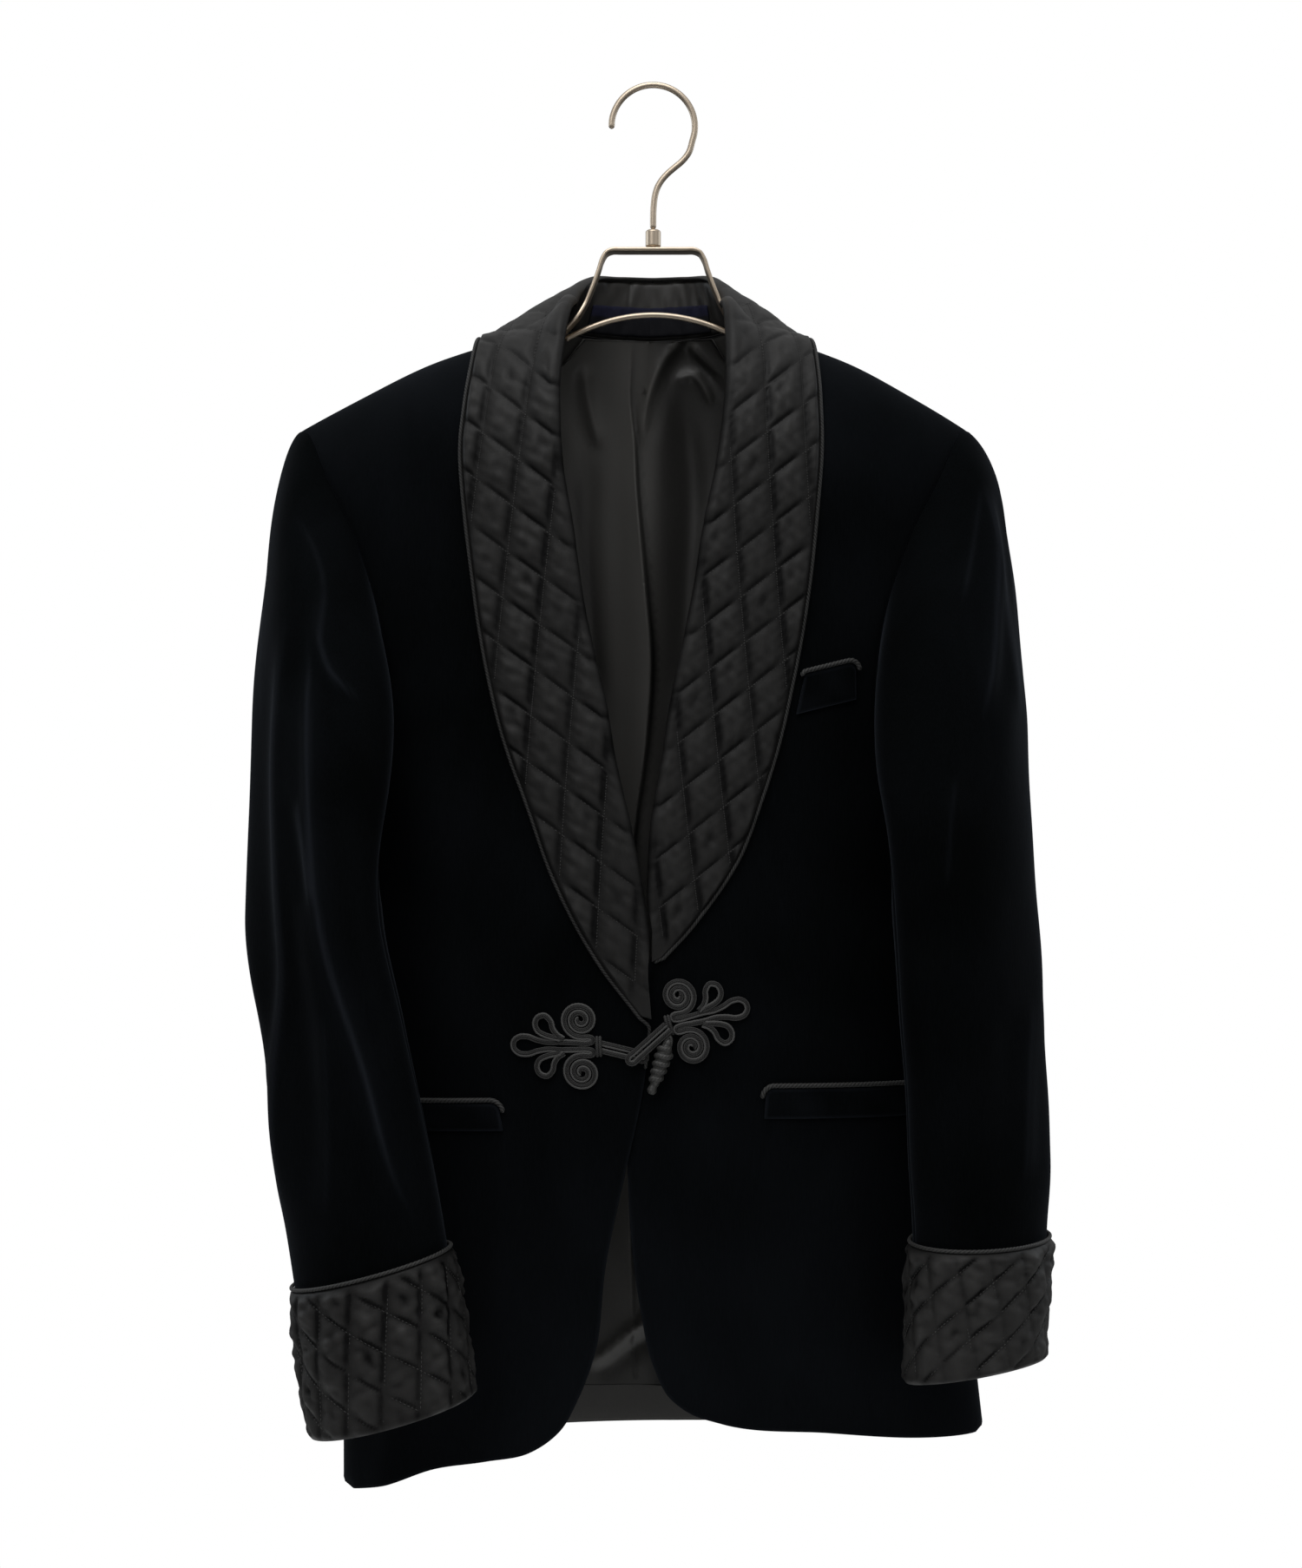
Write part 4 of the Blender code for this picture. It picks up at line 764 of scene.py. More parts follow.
class Effects:
    """Shader groups that several finishes share."""

    @staticmethod
    def group(name: str, inputs: dict[str, float], outputs: tuple[str, ...]) -> tuple[Any, Any, Any] | None:
        """Starts a group, or tells that it is there.

        Args:
            name: the group's name.
            inputs: its values with what they usually are.
            outputs: what it puts out.

        Returns:
            The sketch, the input node and the output node, or nothing if it was made before.
        """
        if name in bpy.data.node_groups:
            return None
        tree = bpy.data.node_groups.new(name, "ShaderNodeTree")
        for key, value in inputs.items():
            socket = tree.interface.new_socket(key, in_out="INPUT", socket_type="NodeSocketFloat")
            socket.default_value = value
        for key in outputs:
            tree.interface.new_socket(key, in_out="OUTPUT", socket_type="NodeSocketFloat")
        sketch = Sketch(tree)
        return sketch, sketch.add("NodeGroupInput"), sketch.add("NodeGroupOutput")

    @staticmethod
    def stretched(sketch: Sketch, size: tuple[float, float, float]) -> bpy.types.NodeSocket:
        """The place in the object, stretched along its axes."""
        where = sketch.add("ShaderNodeTexCoord").outputs["Object"]
        return sketch.add("ShaderNodeVectorMath", {0: where, 1: size}, operation="MULTIPLY").outputs[0]

    @classmethod
    def pile(cls) -> bpy.types.NodeTree:
        """Upright pile in fine rows with brushed patches: Shade and Height."""
        made = cls.group("pile", {"Fine": 1500.0, "Patch": 14.0}, ("Shade", "Height"))
        if made:
            sketch, given, out = made
            rows = sketch.add("ShaderNodeTexNoise", {
                "Vector": cls.stretched(sketch, (1.0, 1.0, 0.1)), "Scale": given.outputs["Fine"],
                "Detail": 2.0, "Roughness": 0.6})
            patch = sketch.add("ShaderNodeTexNoise", {
                "Vector": cls.stretched(sketch, (1.0, 1.0, 0.45)), "Scale": given.outputs["Patch"],
                "Detail": 4.0, "Roughness": 0.55, "Distortion": 0.6})
            mixed = sketch.add("ShaderNodeMix", {0: 0.62, 2: rows.outputs[0], 3: patch.outputs[0]})
            shade = sketch.add("ShaderNodeMapRange", {0: mixed.outputs[0], 1: 0.34, 2: 0.66})
            sketch.tree.links.new(shade.outputs[0], out.inputs["Shade"])
            sketch.tree.links.new(rows.outputs[0], out.inputs["Height"])
        return bpy.data.node_groups["pile"]

    @classmethod
    def weave(cls) -> bpy.types.NodeTree:
        """Fine floating threads with slow unevenness and crinkles: Thread, Cloud and Height."""
        made = cls.group("weave", {"Fine": 1800.0, "Crinkle": 120.0}, ("Thread", "Cloud", "Height"))
        if made:
            sketch, given, out = made
            warp, weft = (sketch.add("ShaderNodeTexNoise", {
                "Vector": cls.stretched(sketch, size), "Scale": given.outputs["Fine"], "Detail": 1.0})
                for size in ((1.0, 1.0, 0.14), (0.14, 0.14, 1.0)))
            thread = sketch.add("ShaderNodeMix", {0: 0.35, 2: warp.outputs[0], 3: weft.outputs[0]})
            crinkle = sketch.add("ShaderNodeTexNoise", {
                "Vector": cls.stretched(sketch, (1.0, 1.0, 1.0)), "Scale": given.outputs["Crinkle"],
                "Detail": 3.0, "Roughness": 0.6, "Distortion": 0.8})
            both = sketch.add("ShaderNodeMix", {0: 0.5, 2: thread.outputs[0], 3: crinkle.outputs[0]})
            for key, node in (("Thread", thread), ("Cloud", crinkle), ("Height", both)):
                sketch.tree.links.new(node.outputs[0], out.inputs[key])
        return bpy.data.node_groups["weave"]

    @classmethod
    def brushed(cls) -> bpy.types.NodeTree:
        """Short brushing marks on metal: Mark."""
        made = cls.group("brushed", {"Fine": 900.0}, ("Mark",))
        if made:
            sketch, given, out = made
            mark = sketch.add("ShaderNodeTexNoise", {
                "Vector": cls.stretched(sketch, (0.25, 1.0, 1.0)), "Scale": given.outputs["Fine"],
                "Detail": 4.0, "Roughness": 0.7})
            sketch.tree.links.new(mark.outputs[0], out.inputs["Mark"])
        return bpy.data.node_groups["brushed"]


@dataclass(frozen=True)
class Finish:
    """What every finish has: a name, two tones and the sockets that stay the same all over."""

    name: str
    deep: Colour
    pale: Colour
    rough: tuple[float, float] = (0.9, 1.0)
    specular: float = 0.05
    sheen: float = 0.0
    sheen_rough: float = 0.3
    sheen_tint: Colour = (1.0, 1.0, 1.0)
    metallic: float = 0.0
    fine: float = 1500.0
    coarse: float = 14.0
    bump: float = 0.3
    deep_bump: float = 0.0004
    usual: tuple[float, float] = (0.0, 1.0)  # share of the pale tone where the cloth is even

    def begun(self) -> tuple[Sketch, bpy.types.Node, bpy.types.Material]:
        """The material's sketch with its shader, and the material."""
        material = bpy.data.materials.new(self.name)
        material.use_nodes = True
        sketch = Sketch(material.node_tree)
        shader = sketch.add("ShaderNodeBsdfPrincipled", {
            "Metallic": self.metallic, "Specular IOR Level": self.specular, "Sheen Weight": self.sheen,
            "Sheen Roughness": self.sheen_rough, "Sheen Tint": (*self.sheen_tint, 1)})
        sketch.add("ShaderNodeOutputMaterial", {"Surface": shader.outputs[0]})
        return sketch, shader, material

    def dressed(self, sketch: Sketch, shader: bpy.types.Node, shade: Any, rough: Any, height: Any) -> None:
        """Links what varies over the surface.

        Args:
            sketch: the material's sketch.
            shader: its shader.
            shade: source of the share of the pale tone.
            rough: source of the place between the two roughnesses.
            height: source of the relief.
        """
        bump = sketch.add("ShaderNodeBump", {
            "Strength": self.bump, "Distance": self.deep_bump, "Height": height})
        # the tone attribute adds painted light and shade, and uneven colour, to the pale share
        tone = sketch.add("ShaderNodeAttribute", attribute_name="tone").outputs["Fac"]
        share = sketch.add("ShaderNodeMath", {0: sketch.scaled(shade, *self.usual), 1: tone},
                           operation="ADD", use_clamp=True)
        for key, source in (("Base Color", sketch.blend(share.outputs[0], self.deep, self.pale)),
                            ("Roughness", sketch.scaled(rough, *self.rough)),
                            ("Normal", bump.outputs[0])):
            sketch.tree.links.new(source, shader.inputs[key])

    def effect(self, sketch: Sketch, tree: bpy.types.NodeTree, **values: float) -> bpy.types.Node:
        """Places a shared group with its own values."""
        return sketch.add("ShaderNodeGroup", values, node_tree=tree)

    def material(self) -> bpy.types.Material:
        """The finish as a material, made once."""
        return bpy.data.materials.get(self.name) or self.made()

    def made(self) -> bpy.types.Material:
        """Builds the material."""
        raise NotImplementedError


@dataclass(frozen=True)
class PileFinish(Finish):
    """Cut pile with a sheen at its edges."""

    def made(self) -> bpy.types.Material:
        """Builds the material."""
        sketch, shader, material = self.begun()
        nap = self.effect(sketch, Effects.pile(), Fine=self.fine, Patch=self.coarse)
        self.dressed(sketch, shader, nap.outputs["Shade"], nap.outputs["Height"], nap.outputs["Height"])
        return material


@dataclass(frozen=True)
class WovenFinish(Finish):
    """Woven or twisted thread: satin, lining, band and cords."""

    def made(self) -> bpy.types.Material:
        """Builds the material."""
        sketch, shader, material = self.begun()
        cloth = self.effect(sketch, Effects.weave(), Fine=self.fine, Crinkle=self.coarse)
        self.dressed(sketch, shader, cloth.outputs["Thread"], cloth.outputs["Cloud"], cloth.outputs["Height"])
        return material


@dataclass(frozen=True)
class MetalFinish(Finish):
    """Brushed and plated metal."""

    def made(self) -> bpy.types.Material:
        """Builds the material."""
        sketch, shader, material = self.begun()
        marks = self.effect(sketch, Effects.brushed(), Fine=self.fine).outputs["Mark"]
        self.dressed(sketch, shader, marks, marks, marks)
        return material


PILE = PileFinish("velvet_pile", (0.0008, 0.0011, 0.0012), (0.017, 0.0195, 0.025), (0.92, 1.0), 0.02,
                  sheen=0.04, sheen_rough=0.32, sheen_tint=(0.5, 0.58, 0.72), fine=1300.0, bump=0.45,
                  usual=(0.03, 0.12))
QUILT_SATIN = WovenFinish("satin_quilted", (0.0008, 0.0008, 0.0009), (0.03, 0.0296, 0.029), (0.42, 0.6),
                          0.12, fine=1500.0, coarse=150.0, bump=0.32, deep_bump=0.0007, usual=(0.34, 0.58))
PLAIN_SATIN = WovenFinish("satin_plain", (0.002, 0.0019, 0.0018), (0.023, 0.0215, 0.0195), (0.36, 0.52),
                          0.26, fine=1500.0, coarse=90.0, bump=0.22, deep_bump=0.0006, usual=(0.36, 0.58))
LINING_SATIN = WovenFinish("satin_lining", (0.0016, 0.0016, 0.0016), (0.075, 0.073, 0.069), (0.3, 0.44),
                           0.32, fine=1900.0, coarse=45.0, bump=0.12, deep_bump=0.0008, usual=(0.36, 0.54))
SILK_CORD = WovenFinish("cord_silk", (0.0024, 0.0024, 0.0024), (0.068, 0.068, 0.0665), (0.5, 0.7), 0.2,
                        sheen=0.03, fine=2600.0, coarse=600.0, bump=0.35, deep_bump=0.0003,
                        usual=(0.2, 0.46))
WOUND_SILK = WovenFinish("thread_wound", (0.008, 0.008, 0.0076), (0.048, 0.048, 0.046), (0.36, 0.54), 0.36,
                         fine=2600.0, coarse=500.0, bump=0.3, deep_bump=0.0003)
NAVY_WEAVE = WovenFinish("band_navy", (0.002, 0.0022, 0.004), (0.009, 0.01, 0.033), (0.7, 0.9), 0.15,
                         fine=1400.0, coarse=200.0, bump=0.3)
NICKEL = MetalFinish("nickel_satin", (0.43, 0.36, 0.28), (0.51, 0.43, 0.34), (0.36, 0.44), 0.5,
                     metallic=1.0, fine=500.0, bump=0.01, deep_bump=0.0001)


def add_piece(name: str, shell: Shell, finishes: tuple[Finish, ...],
              nodes: tuple[str, ...] = ()) -> Piece:
    """Makes a shell a piece of the jacket.

    Args:
        name: the piece's name.
        shell: its points and triangles.
        finishes: the finish of each kind of triangle.
        nodes: the solids that it stands for.

    Returns:
        The piece.
    """
    mesh = bpy.data.meshes.new(name)
    mesh.from_pydata(shell.points.tolist(), [], shell.turned_out().tolist())
    for finish in finishes:
        mesh.materials.append(finish.material())
    kinds = np.minimum(shell.kinds, len(finishes) - 1)
    mesh.polygons.foreach_set("material_index", kinds.astype(np.int32))
    # the tone attribute holds painted light and shade as well as uneven colour
    tone = mesh.attributes.new("tone", "FLOAT", "POINT")
    tone.data.foreach_set("value", shell.tones().astype(np.float32))
    mesh.shade_smooth()
    piece = bpy.data.objects.new(name, mesh)
    bpy.context.scene.collection.objects.link(piece)
    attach(piece, "root")
    if nodes:
        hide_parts(*nodes)
    a, b, c = shell.points[shell.tris].transpose(1, 0, 2)
    area = np.linalg.norm(np.cross(b - a, c - a), axis=1).sum() / 4
    LOG.info("%s: %d triangles, %.4f square metres of cloth", name, len(shell.tris), area)
    return piece


@dataclass(frozen=True)
class Torso:
    """The velvet back and fronts and the lining inside the back."""

    step: float = 0.0044
    trim: float = 0.0045  # a front is cut back this far inside the rolled edge
    lining_wide: float = 0.215
    lining_low: float = -0.874
    lining_step: float = 0.0037
    back_step: float = 0.0062

    def ridge(self, count: int) -> Array:
        """Girth and height along half of the shoulder seam."""
        x = np.linspace(NECK_SIDE + 0.001, SHOULDER_TIP, count)[:-1]
        g = FORM.coordinates(x, FORM.shoulder_z(x))[0]
        return np.stack([g, np.full(len(x), FORM.chest_z + FORM.rise - 0.0002)], 1)

    def arm(self, table: Table, count: int) -> Array:
        """Girth and height along half of an armhole, from just below the shoulder seam."""
        line = FORM.armhole(table, count)
        line[0, 1] = FORM.chest_z + FORM.rise - 0.0002
        return line

    def front(self, side: Side, creases: tuple[Crease, ...]) -> Piece:
        """One front, cut round the shoulder, armhole, side, hem, front edge and rolled line.

        Args:
            side: which front.
            creases: its creases.

        Returns:
            The piece.
        """
        hem = FORM.mapped(spaced(EDGE[side], 230)[::-1])
        seam_h = np.linspace(UNDERARM_Z, EDGE[side][-1][1], 120)[1:]
        seam = np.stack([np.full(119, FORM.girth), seam_h], 1)
        roll, edge = Collar(side).rails(np.linspace(0.5, 11.2, 150))
        line = roll + unit(edge - roll) * self.trim
        inner = FORM.mapped(line[:, [0, 2]])
        neck = FORM.mapped(np.array([(0.061, -0.18), (0.0618, -0.166)]))
        outline = np.concatenate([self.ridge(45), self.arm(ARMHOLE_FRONT, 80), seam, hem[1:], inner, neck])

        def relief(at: Array) -> Pair:
            """Creases, slow waves, painted light on the upper chest and shoulders, and a paler hem."""
            rise, tone = creased(creases, at)
            # lighter towards the hem, and painted light on the upper chest and shoulders
            tone += 0.09 * ease(0.62, 0.86, -at[..., 2]) + 0.1 * ease(-0.32, -0.2, at[..., 2])
            tone += 0.02 * ripple(at, 0.1, 61 + side.value) - 0.02
            return rise + 0.0005 * ripple(at, 0.16, 11 + side.value), tone

        pattern = Pattern(outline, FORM.on_front(side), VELVET, self.step, relief)
        return add_piece(f"front_{side.word}_velvet", pattern.shell(), (PILE, LINING_SATIN),
                         (f"front_{side.word}",))

    def back(self, creases: tuple[Crease, ...]) -> Piece:
        """The back in one piece.

        Args:
            creases: its creases.

        Returns:
            The piece.
        """
        neck_x = np.linspace(-0.056, 0.056, 40)
        neck = np.stack(FORM.coordinates(neck_x, -0.163 + 0.0035 * (neck_x / 0.056) ** 2), 1)
        hem_g = np.linspace(1, -1, 170) * FORM.girth
        low = {side: EDGE[side][-1][1] for side in Side}
        ends = np.where(hem_g > 0, low[Side.RIGHT], low[Side.LEFT])
        hem = np.stack([hem_g, BACK_HEM_Z + (ends - BACK_HEM_Z) * (hem_g / FORM.girth) ** 2], 1)
        flanks = []
        for side in (Side.RIGHT, Side.LEFT):
            seam_h = np.linspace(UNDERARM_Z, low[side], 110)[1:-1]
            seam = np.stack([np.full(108, FORM.girth), seam_h], 1)
            line = np.concatenate([self.ridge(45), self.arm(ARMHOLE_BACK, 80), seam])
            flanks.append(line * (side.value, 1))
        outline = np.concatenate([neck, flanks[0], hem, flanks[1][::-1]])

        def relief(at: Array) -> Pair:
            """Creases and slow waves of the back, with its middle seam."""
            rise, tone = creased(creases, at)
            seam = bell(at[..., 0] - FORM.hang(at * (0, 1, 1))[..., 0], 0.0016)
            return rise + 0.0006 * ripple(at, 0.18, 5) - 0.0007 * seam, tone + 0.02 * ripple(at, 0.1, 63)

        pattern = Pattern(outline, FORM.on_back, VELVET, self.back_step, relief)
        return add_piece("back_velvet", pattern.shell(), (PILE, LINING_SATIN), ("back",))

    def lining(self, creases: tuple[Crease, ...]) -> Piece:
        """The satin lining of the back, with its centre pleat.

        Args:
            creases: its folds.

        Returns:
            The piece.
        """
        def place(g: Array, h: Array, lift: Lift) -> Array:
            """Hung points in front of the back."""
            pleat = 0.005 * bell(g - 0.004, 0.012) * ease(0.15, 0.22, -h)
            fade = ease(0.17, 0.4, -h) * (1 - ease(0.16, 0.21, np.abs(g)))
            waves = 0.0014 * np.sin(g * 75 + 9 * h) ** 2 * fade
            return FORM.on_back(g, h, -VELVET - 0.0026 - pleat - waves - lift)

        def relief(at: Array) -> Pair:
            """Folds of the lining towards the viewer, with painted light on its left half, painted shade on
            its right half and lower part, and a painted shadow along the left collar's roll.
            """
            rise, tone = creased(creases, at)
            x, z = at[..., 0], at[..., 2]
            # painted shadow along the left collar's roll, in the upper part
            shade = bell(x + 0.0515 + 0.1275 * (z + 0.268), 0.0065) * ease(0.24, 0.27, -z)
            # painted light on the left half, painted shade on the right half, and the painted shadow above
            tone += 0.33 - 0.52 * ease(-0.01, 0.012, x) - 0.5 * shade * (1 - ease(0.38, 0.44, -z))
            # painted shade lower down inside the jacket
            tone -= 0.45 * ease(0.42, 0.6, -z)
            return LINING + rise + 0.0003 * ripple(at, 0.06, 23), tone

        neck_x = np.linspace(-0.046, 0.046, 40)
        neck = np.stack(FORM.coordinates(neck_x, -0.1614 + 0.001 * (neck_x / 0.056) ** 2), 1)
        rows = np.array([(0.0505, -0.169), (0.066, -0.186), (0.085, -0.205), (0.105, -0.235)])
        shoulder = spaced(FORM.mapped(rows), 24)[2:]
        down = np.linspace(-0.3, self.lining_low, 110)[:-1]
        flank = np.concatenate([shoulder, np.stack([np.full(len(down), self.lining_wide), down], 1)])
        hem = np.stack([np.linspace(1, -1, 100) * self.lining_wide, np.full(100, self.lining_low)], 1)
        outline = np.concatenate([neck, flank, hem, flank[::-1] * (-1, 1)])
        extra = np.concatenate([crease.beside() for crease in creases[:5]])
        pattern = Pattern(outline, place, LINING, self.lining_step, relief, drop=0.0, rim=0.0, extra=extra)
        return add_piece("lining_back_satin", pattern.shell(), (LINING_SATIN,), ("lining_back",))

    def build(self) -> list[Piece]:
        """All pieces of the torso."""
        dart = {
            Side.RIGHT: ((0.081, -0.459), (0.08, -0.52), (0.0785, -0.59)),
            Side.LEFT: ((-0.096, -0.465), (-0.0945, -0.53), (-0.0925, -0.6)),
        }
        fronts = {
            Side.RIGHT: (
                Crease(dart[Side.RIGHT], 0.0013, -0.0009, 0.0),
                Crease(((0.1385, -0.638), (0.14, -0.644), (0.1405, -0.65)), 0.0012, -0.0008, 0.0),
                Crease(((0.022, -0.664), (0.04, -0.735), (0.046, -0.83)), 0.016, 0.0016),
                Crease(((0.12, -0.69), (0.128, -0.78), (0.126, -0.88)), 0.014, 0.0014, 0.5, -1),
            ),
            Side.LEFT: (
                Crease(dart[Side.LEFT], 0.0013, -0.0007, 0.0),
                Crease(((-0.045, -0.655), (-0.06, -0.74), (-0.066, -0.85)), 0.016, 0.0018, 0.5, -1),
                Crease(((-0.12, -0.7), (-0.128, -0.8), (-0.13, -0.9)), 0.014, 0.0018),
                Crease(((-0.165, -0.85), (-0.17, -0.895), (-0.176, -0.935)), 0.01, 0.0026),
            ),
        }
        behind = tuple(Crease(line, wide, high, 0.5, flank) for line, wide, high, flank in (
            (((-0.1, -0.3), (-0.085, -0.46), (-0.08, -0.66)), 0.018, 0.003, 1),
            (((0.1, -0.3), (0.085, -0.44), (0.075, -0.62)), 0.018, 0.003, -1),
            (((-0.03, -0.42), (-0.028, -0.62), (-0.022, -0.86)), 0.02, 0.0026, -1),
            (((0.045, -0.55), (0.05, -0.7), (0.06, -0.88)), 0.018, 0.0026, 1),
            (((-0.13, -0.6), (-0.135, -0.76), (-0.12, -0.9)), 0.018, 0.0026, 1),
        ))
        # folds of the lining, with painted highlights on their crests and a painted shadow beside the centre
        # pleat's drop
        folds = (
            Crease(((-0.015, -0.12), (-0.0154, -0.1666), (-0.0163, -0.203), (-0.0137, -0.2274),
                    (-0.0119, -0.2624), (-0.0093, -0.2937), (-0.0058, -0.3319), (-0.0023, -0.3773),
                    (-0.005, -0.43), (-0.0139, -0.499), (-0.018, -0.64), (-0.0133, -0.872)),
                   0.0042, 0.0034, 0.2, -1, 0.34, True),
            Crease(((0.024, -0.164), (0.033, -0.173), (0.047, -0.186)), 0.003, 0.002, 0.7, 1, 0.12),
            Crease(((0.014, -0.19), (0.027, -0.186), (0.042, -0.206)), 0.0034, 0.002, 0.7, -1, 0.1),
            Crease(((-0.048, -0.176), (-0.044, -0.205), (-0.035, -0.238)), 0.004, 0.0022, 0.7, 1, 0.12),
            Crease(((0.029, -0.145), (0.0203, -0.1597), (0.008, -0.1751), (-0.0006, -0.1927),
                    (-0.0058, -0.2102), (-0.0075, -0.235)), 0.0034, 0.0026, 0.7, -1, 0.4),
            Crease(((-0.044, -0.23), (-0.045, -0.28), (-0.042, -0.34), (-0.038, -0.42)), 0.007, -0.0026),
            Crease(((0.019, -0.19), (0.026, -0.26), (0.022, -0.34), (0.018, -0.42)), 0.008, -0.0028, 0.6, -1),
            Crease(((-0.046, -0.862), (-0.0357, -0.8546), (-0.0064, -0.832), (0.006, -0.824)), 0.0046, 0.0032,
                   0.7, 1, 0.26),
            Crease(((-0.0135, -0.83), (-0.013, -0.852), (-0.012, -0.873)), 0.0014, -0.001, 0.0),
        )
        return [self.back(behind), self.lining(folds), *(self.front(side, fronts[side]) for side in Side)]


@dataclass(frozen=True)
class Quilting:
    """Two families of stitched lines with puffed diamonds between them."""

    grain: tuple[float, float]  # direction of the lines in degrees, the stronger family first
    side: float = 0.029
    rise: float = 0.0025
    widths: tuple[float, float] = (0.0036, 0.0028)
    bold: tuple[float, float] = (1.0, 0.72)  # depth of each family's grooves, and strength of their painted shadow strokes
    stitch: float = 0.0026
    crumple: float = 1.4  # how crushed the diamonds are, with the painted shade of their dents
    usual_side: float = 0.029  # the painted shadow strokes' sizes are for diamonds of this side

    def basis(self) -> Array:
        """One step along each family of lines."""
        return circle(np.radians(self.grain)) * self.side

    def places(self, flat: Array, middle: Array) -> tuple[Array, Array, float]:
        """Places in the lattice of the stitched lines.

        Args:
            flat: points of the flat pattern.
            middle: where a crossing lies.

        Returns:
            Steps along both families and the distance between lines.
        """
        ways = np.radians(self.grain)
        steps = (flat - middle) @ np.linalg.inv(self.basis())
        return steps[..., 0], steps[..., 1], self.side * abs(np.sin(ways[0] - ways[1]))

    def threads(self, reach: float, middle: Array) -> list[Array]:
        """Places of the stitches along every line of both families.

        Args:
            reach: how far from the middle they go.
            middle: where a crossing lies.

        Returns:
            A line of flat points for each line of stitches.
        """
        basis = self.basis()
        count = int(reach / self.side) + 1
        steps = np.arange(-count, count, self.stitch / self.side)[:, None]
        return [middle + steps * basis[along] + number * basis[1 - along]
                for along in (0, 1) for number in range(-count, count + 1)]

    def relief(self, flat: Array, middle: Array, seed: int) -> Pair:
        """Height of the puffed cloth, and its tone with painted light and shade.

        Args:
            flat: points of the flat pattern.
            middle: where a crossing lies.
            seed: which crinkles.

        Returns:
            The height and the tone at each point: painted light on the puffs' crowns and crinkles, painted
                shade in the stitched grooves, the shadow strokes and the dents.
        """
        a, b, apart = self.places(flat, middle)
        rest_a, rest_b = a - np.floor(a), b - np.floor(b)
        from_a, from_b = np.abs(a - np.round(a)) * apart, np.abs(b - np.round(b)) * apart
        strong = np.exp(-(from_b / self.widths[0]) ** 1.35) * self.bold[0]
        weak = np.exp(-(from_a / self.widths[1]) ** 1.35) * self.bold[1]
        puff = (1 - strong) * (1 - weak)
        puff *= 0.72 + 0.28 * np.abs(np.sin(np.pi * a) * np.sin(np.pi * b))
        odd = np.sin(37.7 * np.floor(a) + 91.3 * np.floor(b) + seed)
        puff *= 1 + 0.16 * odd
        along_a, along_b = 2 * np.pi * a * self.side, 2 * np.pi * b * self.side
        pucker = np.exp(-from_b / 0.0042) * np.sin(along_a / 0.0062 + 2.1 * np.round(b) + seed)
        pucker += np.exp(-from_a / 0.0036) * np.sin(along_b / 0.0058 + 1.7 * np.round(a))
        crinkle = self.crumple * ripple(flat, 0.0105, seed) * puff
        size = self.side / self.usual_side
        # painted shadow strokes beside the stitched lines, on one side of each, which also dip the cloth a
        # little
        steep = bell(rest_b * apart / size - 0.0021, 0.0019) * ease(0.06, 0.36, rest_a)
        slant = bell(rest_a * apart / size - 0.0011, 0.0014) * ease(0.02, 0.16, rest_b)
        steep, slant = steep * (1 - ease(0.92, 1.0, rest_a)), slant * (1 - ease(0.58, 0.86, rest_b))
        fold_shadow = np.maximum(self.bold[0] * steep, self.bold[1] * 1.2 * slant) * (0.8 + 0.2 * odd)
        # dimples in the puffs, darkened with painted shade
        dent_shade = np.exp(-((rest_a - 0.62 - 0.1 * odd) / 0.16) ** 2 - ((rest_b - 0.5 + 0.08 * odd) / 0.15) ** 2)
        dent_shade *= self.crumple * np.clip(np.sin(23.1 * np.floor(a) + 57.7 * np.floor(b) + 2 * seed), 0, 1)
        height = self.rise * puff - 0.0009 * (fold_shadow + dent_shade) + 0.00026 * pucker * puff ** 0.5
        # painted light on the puffs' crowns and crinkles, painted shade in the strokes, dents and stitched
        # grooves
        tone = 0.16 * (puff - 0.6) - 0.52 * fold_shadow - 0.24 * dent_shade - 0.1 * np.maximum(strong, weak)
        return height + 0.00024 * crinkle, tone + 0.05 * crinkle


